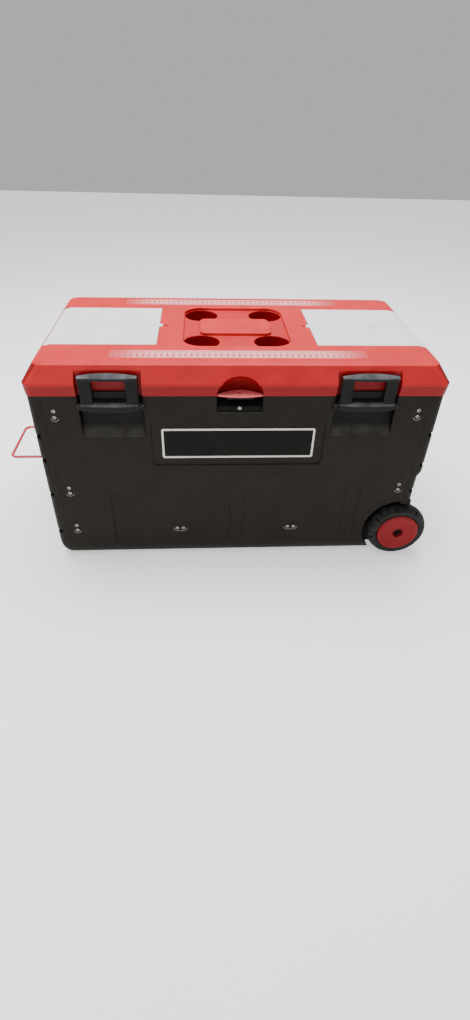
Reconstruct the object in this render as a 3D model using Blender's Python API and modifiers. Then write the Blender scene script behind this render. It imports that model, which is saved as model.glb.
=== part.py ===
"""Rolling tool box: a long riveted plastic case on two wheels, with a hinged lid.

Frame: metres, +Z up, the floor at z = 0 and the origin under the middle of the case.
The latches are on the front (-Y), the lid hinges on the back (+Y), the pull handle on the
left end (-X) and the wheels at the right end (+X).
"""

import math

import bmesh
import bpy
from mathutils import Matrix, Vector

# ---------------------------------------------------------------- driving dimensions
GAP = 0.0004                  # clearance between neighbouring pieces

# Case
CASE_HALF_X = 0.447           # outer face of the end walls
CASE_LOW_HALF_X = 0.439       # right end wall below its step, where the wheels sit
STEP_LOW, STEP_HIGH = 0.232, 0.252
CASE_HALF_Y = 0.240           # outer face of the front and back panels
CASE_CORNER = 0.014
WALL = 0.004
PANEL_HALF_X = 0.4178         # the end caps wrap the corners from here
SKIRT_Z = 0.004               # lower edge of the panels
CURVE_Z = 0.040               # the panels curve inwards below this height
CURVE_IN = 0.017
END_CURVE_Z = 0.052           # the ends curve inwards more
END_CURVE_IN = {-1: 0.023, 1: 0.015}
SEAM_Z = 0.450                # lower edge of the lid
RIM_TOP = 0.461               # top of the rim inside the lid
RIM_IN = 0.0045               # the rim stands this far behind the panel's face
SHOULDER = SEAM_Z - 0.0006    # the ledge that the lid closes down to, and its slope
SHOULDER_RISE = 0.0003
FLANGE_X = 0.385              # inner edge of the end caps' riveting flanges
FLANGE_Y = CASE_HALF_Y - WALL - GAP

# Floor tray
TRAY_HALF_X = 0.380
TRAY_BOTTOM_X = 0.370         # half length of its flat bottom
TRAY_TOP = 0.098
FOOT_Z = 0.0                  # runners rest on the floor

# Lid
LID_LOW = (0.4478, 0.2420)    # half length and half depth at the lower edge
LID_WIDE = (0.4505, 0.2470)
LID_WIDE_Z = 0.479
LID_CREST = (0.4280, 0.2260)
LID_CREST_Z = 0.5126
DECK = (0.408, 0.206)
DECK_Z = 0.5164
LID_WALL = 0.0035

# Deck of the lid
TRAY_RECESS = (0.122, 0.130)
TRAY_RECESS_R = 0.041
TRAY_RECESS_DEPTH = 0.006
PLATFORM = (0.0835, 0.050)
PLATFORM_R = 0.015
CUP_X, CUP_Y = 0.080, 0.0895
CUP_R = 0.0405
CUP_FLOOR = 0.4824
WELL_X0, WELL_X1 = 0.1785, 0.417
WELL_Y = 0.1249
WELL_FLOOR = 0.4820
LIP_FLOOR = 0.5075            # floor of the notch that the covers' hinges lie in

# Organisers
BIN_X0, BIN_X1 = 0.181, 0.404
BIN_Y = 0.1215
BIN_TOP = 0.5128
BIN_WALL = 0.0018
BIN_COLUMNS, BIN_ROWS = 3, 2
COVER_X0, COVER_X1 = 0.1795, 0.4080
COVER_Y = 0.1240
COVER_Z0, COVER_Z1 = 0.5136, 0.5166
COVER_AXIS_X, COVER_AXIS_Z = 0.4235, 0.5105
COVER_ROLL_R, COVER_PIN_R = 0.0026, 0.0012

# Latches
LATCH_X = 0.274
LATCH_HALF = 0.0605
LATCH_LOW, LATCH_HIGH = 0.421, 0.498
LATCH_ARCH = 0.005
LATCH_FRONT, LATCH_FACE, LATCH_BACK = -0.2515, -0.2470, -0.2410
LATCH_PIVOT_Y, LATCH_PIVOT_Z = -0.2415, 0.4255
LATCH_KNUCKLE_R = 0.0055
LATCH_WINDOW = (0.0350, 0.4345, 0.4860)
LATCH_PIN_R = 0.0024
LATCH_RECESS_HALF = 0.0685
LATCH_RECESS_Y = 0.2315       # back wall of the lid's recess
SCOOP_DEPTH = 0.015
SCOOP_BOTTOM = 0.352

# Flutes in the lower half of both panels
FLUTE_X = (-0.286, 0.0, 0.286)
FLUTE_HALF, FLUTE_DEPTH = 0.020, 0.0026
FLUTE_Z = (0.042, 0.2095)

# Padlock hasp
HASP_HALF = 0.0495
HASP_THICK = 0.004
HASP_Y = -0.233
HASP_HOLE_R = 0.0048
HASP_DOME = (0.0495, 0.024, 0.041)
HASP_CENTRE_Y = -0.243
HASP_DEPTH = 0.028

# Badge
BADGE = (0.1717, 0.296, 0.3713)
BADGE_BORDER = 0.0046
BADGE_PANEL = (0.1945, 0.2752, 0.3912)
BADGE_PANEL_DEPTH = 0.0025

# Rivets: height of each pair's middle on the corner lines, and the floor tray's pairs
RIVET_X = 0.3958
RIVET_PITCH = 0.015
RIVET_Z = (0.4081, 0.2081, 0.0937)
FLOOR_RIVET_X, FLOOR_RIVET_Z = 0.1400, 0.0880
RIVET_HEAD_R, RIVET_SHANK_R, RIVET_HOLE_R = 0.0047, 0.0022, 0.0026

# Wheels
AXLE_X, AXLE_Z = 0.417, 0.075
AXLE_R, BORE_R = 0.0060, 0.0064
WHEEL_FACE_Y = 0.2614         # outer face of the hub
TYRE_R, HUB_R = 0.075, 0.0523
ARCH_R = 0.088
WELL_DISC_Y = 0.2085          # inner wall of the wheel wells
WELL_T = 0.003

# Pull handle
HANDLE_Z = 0.200
HANDLE_PIVOT_X, HANDLE_END_X = -0.4550, -0.5770
HANDLE_HALF_Y = 0.078
HANDLE_R = 0.0025
HANDLE_BEND = 0.014

# Lid hinges
HINGE_Y, HINGE_Z = 0.2475, 0.4455
HINGE_X = 0.250
HINGE_HALF = 0.030
HINGE_KNUCKLE_R, HINGE_PIN_R = 0.0042, 0.0020

# ---------------------------------------------------------------- materials
RED = ((0.62, 0.035, 0.035), 0.55, 0.0)
RED_STEEL = ((0.65, 0.03, 0.04), 0.35, 0.0)
BLACK = ((0.022, 0.020, 0.018), 0.60, 0.0)
DARK = ((0.020, 0.021, 0.023), 0.50, 0.0)
CLEAR = ((0.78, 0.76, 0.77), 0.35, 0.0)
STEEL = ((0.62, 0.62, 0.62), 0.35, 1.0)
WHITE = ((0.66, 0.65, 0.62), 0.50, 0.0)
TYRE = ((0.035, 0.038, 0.036), 0.80, 0.0)


def scene_collection(name):
    collection = bpy.data.collections.new(name)
    bpy.context.scene.collection.children.link(collection)
    return collection


def clear_scene():
    for thing in list(bpy.data.objects):
        bpy.data.objects.remove(thing)
    for collection in list(bpy.data.collections):
        bpy.data.collections.remove(collection)


clear_scene()
PARTS = scene_collection("rolling_tool_box")
CUTTERS = scene_collection("cutters")


# ---------------------------------------------------------------- modelling helpers
def place(name, data, look=None):
    """A new object: a part when it has a look, otherwise a cutter or a shape to be joined."""
    thing = bpy.data.objects.new(name, data)
    if look is None:
        thing.hide_render = True
        thing.display_type = "WIRE"
        CUTTERS.objects.link(thing)
        return thing
    PARTS.objects.link(thing)
    colour, roughness, metallic = look
    material = bpy.data.materials.new(name)
    material.use_nodes = True
    shader = material.node_tree.nodes["Principled BSDF"]
    shader.inputs["Base Color"].default_value = (*colour, 1.0)
    shader.inputs["Roughness"].default_value = roughness
    shader.inputs["Metallic"].default_value = metallic
    thing.data.materials.append(material)
    return thing


def mesh_from(bm, name, smooth=False):
    mesh = bpy.data.meshes.new(name)
    bm.normal_update()
    bm.to_mesh(mesh)
    bm.free()
    if smooth:
        mesh.shade_smooth()
        mesh.set_sharp_from_angle(angle=math.radians(35))
    return mesh


def box(name, low, high, look=None):
    low, high = Vector(low), Vector(high)
    size = high - low
    bm = bmesh.new()
    bmesh.ops.create_cube(bm, size=1.0, matrix=Matrix.Diagonal((*size, 1.0)))
    bmesh.ops.translate(bm, vec=(low + high) / 2, verts=bm.verts)
    return place(name, mesh_from(bm, name), look)


def rods(name, axis, radius, ends, segments=12, look=None):
    """Cylinders along one axis; ends is a list of (first end, second end)."""
    turn = {"X": Matrix.Rotation(math.pi / 2, 4, "Y"), "Y": Matrix.Rotation(math.pi / 2, 4, "X")}
    bm = bmesh.new()
    for first, second in ends:
        first, second = Vector(first), Vector(second)
        matrix = Matrix.Translation((first + second) / 2) @ turn.get(axis, Matrix.Identity(4))
        bmesh.ops.create_cone(bm, cap_ends=True, segments=segments, radius1=radius, radius2=radius,
                              depth=(second - first).length, matrix=matrix)
    return place(name, mesh_from(bm, name, smooth=True), look)


def rod(name, axis, radius, first, second, segments=12, look=None):
    return rods(name, axis, radius, [(first, second)], segments, look)


def loft(name, rings, look=None):
    """A closed solid through rings of equal point counts."""
    bm = bmesh.new()
    rows = [[bm.verts.new(point) for point in ring] for ring in rings]
    count = len(rows[0])
    for lower, upper in zip(rows, rows[1:]):
        for i in range(count):
            j = (i + 1) % count
            bm.faces.new((lower[i], lower[j], upper[j], upper[i]))
    bm.faces.new(rows[0][::-1])
    bm.faces.new(rows[-1])
    bmesh.ops.recalc_face_normals(bm, faces=bm.faces)
    return place(name, mesh_from(bm, name), look)


def sheet(name, rows, look=None):
    """An open surface from a grid of points, to be thickened with Solidify."""
    bm = bmesh.new()
    grid = [[bm.verts.new(point) for point in row] for row in rows]
    for lower, upper in zip(grid, grid[1:]):
        for i in range(len(lower) - 1):
            bm.faces.new((lower[i], lower[i + 1], upper[i + 1], upper[i]))
    return place(name, mesh_from(bm, name), look)


def rounded(half_x, half_y, radius, z, steps=3, centre=(0.0, 0.0)):
    """A rounded rectangle at height z, counter-clockwise."""
    points = []
    for corner in range(4):
        sign_x = 1 if corner in (0, 3) else -1
        sign_y = 1 if corner in (0, 1) else -1
        for step in range(steps + 1):
            angle = math.pi / 2 * (corner + step / steps)
            points.append(Vector((centre[0] + sign_x * (half_x - radius) + radius * math.cos(angle),
                                  centre[1] + sign_y * (half_y - radius) + radius * math.sin(angle), z)))
    return points


def ellipse(half_x, half_y, z, centre, steps=20):
    turns = [2 * math.pi * i / steps for i in range(steps)]
    return [Vector((centre[0] + half_x * math.cos(a), centre[1] + half_y * math.sin(a), z)) for a in turns]


def extruded(name, outline, low, high, axis="Z", look=None):
    """A flat outline made solid from low to high along an axis. Its points are (x, y) for Z,
    (x, z) for Y and (y, z) for X."""
    lift = {"Z": lambda p, h: (p[0], p[1], h), "Y": lambda p, h: (p[0], h, p[1]),
            "X": lambda p, h: (h, p[0], p[1])}[axis]
    bm = bmesh.new()
    base = [bm.verts.new(lift(point, low)) for point in outline]
    face = bm.faces.new(base)
    made = bmesh.ops.extrude_face_region(bm, geom=[face])["geom"]
    tops = [item for item in made if isinstance(item, bmesh.types.BMVert)]
    move = Vector(lift((0.0, 0.0), high)) - Vector(lift((0.0, 0.0), low))
    bmesh.ops.translate(bm, vec=move, verts=tops)
    bmesh.ops.recalc_face_normals(bm, faces=bm.faces)
    return place(name, mesh_from(bm, name), look)


def sides(side, low, high):
    """A span on one side of a middle plane, in rising order."""
    return tuple(sorted((side * low, side * high)))


def arc(centre, radius, start, end, steps):
    """Points on an arc in a plane, angles in degrees."""
    points = []
    for step in range(steps + 1):
        angle = math.radians(start + (end - start) * step / steps)
        points.append((centre[0] + radius * math.cos(angle), centre[1] + radius * math.sin(angle)))
    return points


def bow(start, end, rise, steps):
    """Points on a shallow arch between two points, rising to their left."""
    start, end = Vector(start), Vector(end)
    side = Vector((-(end - start).y, (end - start).x)).normalized()
    points = []
    for step in range(steps + 1):
        t = step / steps
        points.append(tuple(start.lerp(end, t) + side * rise * 4 * t * (1 - t)))
    return points


def turned(name, profile, place_at, outward, steps=28, look=None):
    """A profile of (radius, height) turned about Z, its Z axis laid along +Y or -Y. It is a closed
    loop, or it starts and ends on the axis."""
    bm = bmesh.new()
    verts = [bm.verts.new((radius, 0.0, height)) for radius, height in profile]
    if profile[0][0] > 0.0:
        verts.append(verts[0])
    for first, second in zip(verts, verts[1:]):
        bm.edges.new((first, second))
    mesh = mesh_from(bm, name)
    thing = place(name, mesh, look)
    screw = thing.modifiers.new("turn", "SCREW")
    screw.steps = steps
    screw.render_steps = steps
    screw.use_merge_vertices = True
    screw.merge_threshold = 0.00001
    screw.use_smooth_shade = True
    thing.location = place_at
    thing.rotation_euler = (-outward * math.pi / 2, 0.0, 0.0)
    return thing


def tube(name, points, radius, look=None, resolution=2):
    """A round rod along a path of points."""
    curve = bpy.data.curves.new(name, "CURVE")
    curve.dimensions = "3D"
    curve.bevel_depth = radius
    curve.bevel_resolution = resolution
    curve.use_fill_caps = True
    spline = curve.splines.new("POLY")
    spline.points.add(len(points) - 1)
    for target, point in zip(spline.points, points):
        target.co = (*point, 1.0)
    return place(name, curve, look)


def solidify(thing, thickness):
    modifier = thing.modifiers.new("thickness", "SOLIDIFY")
    modifier.thickness = thickness
    modifier.offset = -1.0
    modifier.use_even_offset = True
    return thing


def boolean(thing, other, operation):
    modifier = thing.modifiers.new(f"{operation.lower()}_{other.name}"[:60], "BOOLEAN")
    modifier.operation = operation
    modifier.solver = "EXACT"
    modifier.object = other
    return thing


def cut(thing, *others):
    for other in others:
        boolean(thing, other, "DIFFERENCE")
    return thing


def join(thing, *others):
    for other in others:
        boolean(thing, other, "UNION")
    return thing


def pivot(name, location):
    """An empty on a joint's axis, the parent of the pieces that turn about it."""
    empty = bpy.data.objects.new(name, None)
    empty.location = location
    empty.empty_display_size = 0.02
    PARTS.objects.link(empty)
    return empty


def hang(empty, *things):
    """Parent pieces to a pivot without moving them."""
    for thing in things:
        thing.parent = empty
        thing.matrix_parent_inverse = Matrix.Translation(empty.location).inverted()


# ---------------------------------------------------------------- the case's outer shape
def curved_in(z, height, amount):
    """How far a wall has curved inwards at height z, on a quarter ellipse down to SKIRT_Z."""
    if z >= height:
        return 0.0
    return amount * (1.0 - math.sqrt(max(0.0, 1.0 - ((height - z) / (height - SKIRT_Z)) ** 2)))


def wall_y(z):
    """Half depth of the case at height z."""
    if z > SHOULDER:
        return CASE_HALF_Y - RIM_IN
    return CASE_HALF_Y - curved_in(z, CURVE_Z, CURVE_IN)


def wall_x(z, side):
    """Half length of the case at height z, on one end."""
    if z > SHOULDER:
        return CASE_HALF_X - RIM_IN
    low = CASE_LOW_HALF_X if side > 0 else CASE_HALF_X
    share = min(1.0, max(0.0, (z - STEP_LOW) / (STEP_HIGH - STEP_LOW)))
    return low + (CASE_HALF_X - low) * share - curved_in(z, END_CURVE_Z, END_CURVE_IN[side])


RIM_ROWS = (SHOULDER, SHOULDER + SHOULDER_RISE, RIM_TOP)
CURVE_ROWS = (SKIRT_Z, 0.0050, 0.0085, 0.016, 0.027, CURVE_Z)


def panel(name, side, look):
    """A flat moulded panel that curves in at the bottom and steps in to the rim at the top."""
    rows = []
    for z in sorted({*CURVE_ROWS, *RIM_ROWS}):
        row = [(-PANEL_HALF_X, side * wall_y(z), z), (PANEL_HALF_X, side * wall_y(z), z)]
        rows.append(row if side < 0 else row[::-1])
    thing = solidify(sheet(name, rows, look), WALL)
    for x in FLUTE_X:
        mouth, bottom = side * (CASE_HALF_Y + 0.004), side * (CASE_HALF_Y - FLUTE_DEPTH)
        outline = [(x - FLUTE_HALF, mouth), (x + FLUTE_HALF, mouth),
                   (x + FLUTE_HALF - 0.006, bottom), (x - FLUTE_HALF + 0.006, bottom)]
        cut(thing, extruded(f"{name}_flute_{int(x * 1e3)}", outline, FLUTE_Z[0], FLUTE_Z[1]))
    return thing


def pocket(name, centre, rings, top):
    """A pocket in the front panel through (y, half width, lower edge) rings, open at the top."""
    loops = []
    for y, half, low in rings:
        loops.append([Vector((centre - half, y, low)), Vector((centre + half, y, low)),
                      Vector((centre + half, y, top)), Vector((centre - half, y, top))])
    return loft(name, loops)


def front_pockets():
    """Jackets to join to the front panel, and the pockets to cut from it."""
    face = -CASE_HALF_Y
    scoop_back, hasp_back = face + SCOOP_DEPTH, face + HASP_DEPTH
    jackets, pockets = [], []
    for side in (-1, 1):
        centre = side * LATCH_X
        half = LATCH_RECESS_HALF
        jackets.append(pocket(f"scoop_jacket_{side}", centre,
                              [(face + 0.001, half + 0.003, SCOOP_BOTTOM - 0.0045),
                               (scoop_back - 0.001, half + 0.003, SCOOP_BOTTOM + 0.004),
                               (scoop_back + WALL, half + 0.0015, SCOOP_BOTTOM + 0.026)], RIM_TOP))
        pockets.append(pocket(f"scoop_{side}", centre,
                              [(face - 0.006, half, SCOOP_BOTTOM - 0.002), (face, half, SCOOP_BOTTOM),
                               (scoop_back - 0.0045, half - 0.0015, SCOOP_BOTTOM + 0.010),
                               (scoop_back, half - 0.003, SCOOP_BOTTOM + 0.030)], 0.48))
    jackets.append(pocket("hasp_jacket_case", 0.0,
                          [(face + 0.001, 0.054, 0.4025), (face + 0.0095, 0.054, 0.4065),
                           (hasp_back + WALL, 0.050, 0.4345)], RIM_TOP))
    pockets.append(pocket("hasp_pocket", 0.0,
                          [(face - 0.006, 0.050, 0.4070), (face, 0.050, 0.4085),
                           (face + 0.0055, 0.048, 0.4125), (face + 0.0060, 0.048, 0.4225),
                           (hasp_back, 0.046, 0.4425)], 0.48))
    return jackets, pockets


def rivet_holes(side):
    """Holes for one side's rivets, through the panel and what is riveted behind it."""
    ends = []
    for x, z in rivet_centres(side):
        ends.append(((x, side * (CASE_HALF_Y + 0.004), z), (x, side * (FLANGE_Y - WALL - 0.004), z)))
    label = "front" if side < 0 else "back"
    return rods(f"holes_{label}", "Y", RIVET_HOLE_R, ends, segments=8)


def rivet_pairs():
    """Name, middle and direction of each pair of rivets on the front; the back mirrors them."""
    pairs = []
    for x_side, place_name in ((-1, "left"), (1, "right")):
        heights = RIVET_Z if x_side < 0 else RIVET_Z[:2]
        for level, z in zip(("top", "middle", "bottom"), heights):
            pairs.append((f"{place_name}_{level}", x_side * RIVET_X, z, (0.0, 1.0)))
        pairs.append((f"{place_name}_floor", x_side * FLOOR_RIVET_X, FLOOR_RIVET_Z, (1.0, 0.0)))
    return pairs


def rivet_centres(side):
    centres = []
    for _, x, z, (along_x, along_z) in rivet_pairs():
        for half in (-RIVET_PITCH / 2, RIVET_PITCH / 2):
            centres.append((x + along_x * half, z + along_z * half))
    return centres


def wheel_arch(side, radius, inner_y, outer_y=0.29):
    """A cylinder that clears one wheel, from outer_y to inner_y."""
    return rod(f"arch_{side}_{int(radius * 1e4)}", "Y", radius, (AXLE_X, side * outer_y, AXLE_Z),
               (AXLE_X, side * inner_y, AXLE_Z), segments=32)


def make_panels(holes, arches):
    front = panel("front_panel", -1, BLACK)
    jackets, pockets = front_pockets()
    cut(join(front, *jackets), *pockets)
    middle = (BADGE_PANEL[1] + BADGE_PANEL[2]) / 2
    ring = rounded(BADGE_PANEL[0], (BADGE_PANEL[2] - BADGE_PANEL[1]) / 2, 0.011, 0.0, centre=(0.0, middle))
    recess = extruded("badge_recess", [(p.x, p.y) for p in ring], -CASE_HALF_Y - 0.004,
                      -CASE_HALF_Y + BADGE_PANEL_DEPTH, "Y")
    cut(front, recess, arches[-1], holes[-1])
    for centre, half, depth in ((-LATCH_X, 0.0745, SCOOP_DEPTH), (0.0, 0.0570, HASP_DEPTH),
                                (LATCH_X, 0.0745, SCOOP_DEPTH)):
        cut(front, box(f"rim_gap_{int(centre * 1e3)}",
                       (centre - half, -CASE_HALF_Y - 0.001, SHOULDER - 0.0012),
                       (centre + half, -CASE_HALF_Y + depth - 0.0011, RIM_TOP + 0.01)))
    ears = []
    for latch in (-1, 1):
        for hand in (-1, 1):
            near = latch * LATCH_X + hand * (LATCH_HALF + 0.0009)
            far = latch * LATCH_X + hand * (LATCH_RECESS_HALF + 0.003)
            outline = [(-0.2265, 0.4175), (-0.2265, 0.4345)]
            outline += arc((LATCH_PIVOT_Y, LATCH_PIVOT_Z), 0.0062, 80, 280, 6)
            ears.append(extruded(f"ear_{latch}_{hand}", outline, min(near, far), max(near, far), "X"))
    tab = extruded("case_hasp_tab", [(-0.030, -0.209), (0.030, -0.209), (0.030, -0.242),
                                     (0.018, -0.246), (-0.018, -0.246), (-0.030, -0.242)],
                   SHOULDER - HASP_THICK, SHOULDER - 0.0002)
    join(front, *ears, tab)
    pins = [((latch * LATCH_X - 0.0665, LATCH_PIVOT_Y, LATCH_PIVOT_Z),
             (latch * LATCH_X + 0.0665, LATCH_PIVOT_Y, LATCH_PIVOT_Z)) for latch in (-1, 1)]
    cut(front, rods("ear_bores", "X", LATCH_PIN_R + 0.0003, pins, segments=12),
        rod("case_hasp_hole", "Z", HASP_HOLE_R, (0, HASP_Y, 0.436), (0, HASP_Y, 0.470)),
        rod("hasp_rivet_hole", "Y", 0.0031, (0, -0.250, 0.4195), (0, -0.2265, 0.4195), segments=8))

    back = panel("back_panel", 1, BLACK)
    cut(back, arches[1], holes[1])
    for side, thing in ((-1, front), (1, back)):
        cut(thing, wheel_arch(side, ARCH_R + WELL_T + 0.0007, 0.200, FLANGE_Y + 0.0002))
    return front, back


# ---------------------------------------------------------------- end caps
NOTCH_Z = {-1: (0.3530, 0.2910, 0.1950, 0.0820), 1: (0.3530, 0.2700, 0.1950)}
NOTCH_HALF_Z = 0.0055


def end_cap(name, side, holes, arches, look):
    """An end wall that wraps both corners, with a riveting flange behind each panel."""
    heights = sorted({*CURVE_ROWS, END_CURVE_Z, STEP_LOW, STEP_HIGH, *RIM_ROWS})
    rows = []
    for z in heights:
        half_x, half_y = wall_x(z, side), wall_y(z)
        radius = min(CASE_CORNER, half_x - PANEL_HALF_X - 0.0015)
        centre = (half_x - radius, half_y - radius)
        path = [(PANEL_HALF_X + GAP, -half_y)]
        path += arc((centre[0], -centre[1]), radius, -90, 0, 4)
        path += arc(centre, radius, 0, 90, 4)
        path.append((PANEL_HALF_X + GAP, half_y))
        rows.append([(side * x, y, z) for x, y in (path if side > 0 else path[::-1])])
    cap = solidify(sheet(name, rows, look), WALL)

    low, high = sides(side, TRAY_BOTTOM_X + 0.0012, 0.430)
    plate = box(f"{name}_bottom", (low, -WELL_DISC_Y, SKIRT_Z + 0.0006),
                (high, WELL_DISC_Y, SKIRT_Z + WALL - 0.0006))
    flanges = []
    for y_side in (-1, 1):
        outline = [(FLANGE_X, FLANGE_Y), (PANEL_HALF_X + 0.001, FLANGE_Y),
                   (PANEL_HALF_X + 0.001, CASE_HALF_Y - 0.002), (0.426, CASE_HALF_Y - 0.002),
                   (0.426, FLANGE_Y - WALL), (FLANGE_X, FLANGE_Y - WALL)]
        outline = [(side * x, y_side * y) for x, y in outline]
        flanges.append(extruded(f"{name}_flange_{y_side}", outline, CURVE_Z + 0.002, 0.443))
    join(cap, plate, *flanges)

    if side > 0:
        cut(cap, *(wheel_arch(y_side, ARCH_R + WELL_T / 2, WELL_DISC_Y + WELL_T / 2)
                   for y_side in (-1, 1)))
        join(cap, *(wheel_well(y_side) for y_side in (-1, 1)))
        cut(cap, rod("axle_bore", "Y", BORE_R, (AXLE_X, -0.23, AXLE_Z), (AXLE_X, 0.23, AXLE_Z)))
    notches = []
    for z in NOTCH_Z[side]:
        edge = wall_x(z, side)
        near_x, far_x = sides(side, edge - 0.013, edge + 0.010)
        for y_side in (-1, 1):
            near_y, far_y = sides(y_side, 0.2245, 0.2500)
            notches.append(box(f"{name}_notch_{int(z * 1e3)}_{y_side}",
                               (near_x, near_y, z - NOTCH_HALF_Z), (far_x, far_y, z + NOTCH_HALF_Z)))
    cut(cap, holes[-1], holes[1], *notches)
    return cap


def wheel_well(y_side):
    """A round pocket behind one wheel: a rim and a disc, clipped to the case."""
    name = f"wheel_well_{y_side}"
    depth = FLANGE_Y - WELL_DISC_Y
    outer, inner = ARCH_R + 0.0003 + WELL_T, ARCH_R + 0.0003
    profile = [(inner, 0.0), (outer, 0.0), (outer, -depth - WELL_T), (0.004, -depth - WELL_T),
               (0.004, -depth), (inner, -depth)]
    well = turned(name, profile, (AXLE_X, y_side * FLANGE_Y, AXLE_Z), y_side, steps=32)
    clip = box(f"{name}_clip", (0.320, -0.26, SKIRT_Z), (CASE_LOW_HALF_X - 0.0005, 0.26, 0.18))
    boolean(well, clip, "INTERSECT")
    return well


# ---------------------------------------------------------------- floor tray
def floor_tray(holes, look):
    outer = [(TRAY_BOTTOM_X, 0.2214, SKIRT_Z), (TRAY_BOTTOM_X, 0.2214, 0.0078), (0.374, 0.2265, 0.013),
             (0.378, 0.2315, 0.026), (TRAY_HALF_X, FLANGE_Y, 0.048), (TRAY_HALF_X, FLANGE_Y, TRAY_TOP)]
    inner = [(x - WALL, y - WALL, z + WALL) for x, y, z in outer]
    tray = loft("floor_tray", [rounded(x, y, 0.012, z) for x, y, z in outer], look)
    cut(tray, loft("tray_hollow", [rounded(x, y, 0.010, z) for x, y, z in inner[:1] + inner[2:]]))
    runners = []
    for label, low, high in (
            ("front", (-0.350, -0.190), (0.300, -0.160)), ("back", (-0.350, 0.160), (0.300, 0.190)),
            ("middle", (-0.350, -0.040), (0.350, 0.040))):
        runners.append(box(f"runner_{label}", (*low, FOOT_Z), (*high, SKIRT_Z + 0.002)))
    join(tray, *runners)
    for y_side in (-1, 1):
        low, high = sides(y_side, 0.2035, 0.2500)
        cut(tray, box(f"tray_corner_{y_side}", (0.322, low, -0.01), (0.40, high, 0.12)))
    return cut(tray, holes[-1], holes[1])


# ---------------------------------------------------------------- fasteners and badge
def make_rivets():
    """Each pair shares a steel backing plate inside the case."""
    for y_side, face_name in ((-1, "front"), (1, "back")):
        for label, x, z, (along_x, along_z) in rivet_pairs():
            heads = []
            for index, half in enumerate((-RIVET_PITCH / 2, RIVET_PITCH / 2)):
                where = (x + along_x * half, y_side * (CASE_HALF_Y + GAP), z + along_z * half)
                end = -(CASE_HALF_Y + GAP - FLANGE_Y + WALL + GAP) - 0.0006
                profile = [(0.0, 0.0019), (0.0030, 0.0016), (RIVET_HEAD_R, 0.0003),
                           (RIVET_HEAD_R, 0.0), (RIVET_SHANK_R, 0.0), (RIVET_SHANK_R, end), (0.0, end)]
                heads.append(turned(f"rivet_{face_name}_{label}_{index}", profile, where, y_side, 8))
            wide = RIVET_PITCH / 2 + 0.006
            half_x, half_z = (wide, 0.006) if along_x else (0.006, wide)
            inside = sorted((y_side * (FLANGE_Y - WALL - GAP), y_side * (FLANGE_Y - WALL - 0.0022)))
            plate = box(f"rivets_{face_name}_{label}", (x - half_x, inside[0], z - half_z),
                        (x + half_x, inside[1], z + half_z), STEEL)
            join(plate, *heads)


def make_hasp_rivet():
    y = CASE_HALF_Y - 0.0054
    profile = [(0.0, 0.0026), (0.0034, 0.0022), (0.0052, 0.0004), (0.0052, 0.0), (0.0027, 0.0),
               (0.0027, -0.0070), (0.0, -0.0070)]
    return turned("hasp_rivet", profile, (0.0, -y - GAP, 0.4195), -1, steps=14, look=STEEL)


def make_badge():
    """A blank plate inside a light frame."""
    face = -CASE_HALF_Y + BADGE_PANEL_DEPTH
    middle = (BADGE[1] + BADGE[2]) / 2

    def badge_part(name, inset, radius, front, back, look=None):
        ring = rounded(BADGE[0] - inset, (BADGE[2] - BADGE[1]) / 2 - inset, radius, 0.0,
                       centre=(0.0, middle))
        return extruded(name, [(p.x, p.y) for p in ring], front, back, "Y", look)

    border = badge_part("badge_frame", 0.0, 0.005, face - 0.0022, face - GAP, WHITE)
    cut(border, badge_part("badge_window", BADGE_BORDER, 0.0025, face - 0.01, face + 0.01))
    badge_part("badge_plate", BADGE_BORDER + GAP, 0.0022, face - 0.0016, face - GAP, DARK)


# ---------------------------------------------------------------- lid
def lid_rings(shrink, low, top):
    """Rounded rectangles up the lid's outer shape, or that shape moved inwards."""
    levels = [(low, *LID_LOW, 0.014), (LID_WIDE_Z, *LID_WIDE, 0.018),
              (LID_CREST_Z - shrink * 0.6, *LID_CREST, 0.014), (DECK_Z - top, *DECK, 0.010)]
    return [rounded(x - shrink, y - shrink, r - shrink * 0.8, z) for z, x, y, r in levels]


def dome(name, grow):
    """The upper half of an ellipsoid, for the scoop above the hasp tab."""
    rings = []
    for degrees in (0, 18, 36, 54, 70, 82):
        angle = math.radians(degrees)
        shrink = math.cos(angle)
        rings.append(ellipse((HASP_DOME[0] + grow) * shrink, (HASP_DOME[1] + grow) * shrink,
                             SEAM_Z + HASP_THICK - 0.3 * grow + (HASP_DOME[2] + grow) * math.sin(angle),
                             (0.0, HASP_CENTRE_Y)))
    return loft(name, rings)


def prism(name, half_x, half_y, radius, low, high, centre=(0.0, 0.0), steps=4, look=None):
    return loft(name, [rounded(half_x, half_y, radius, z, steps, centre) for z in (low, high)], look)


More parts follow.
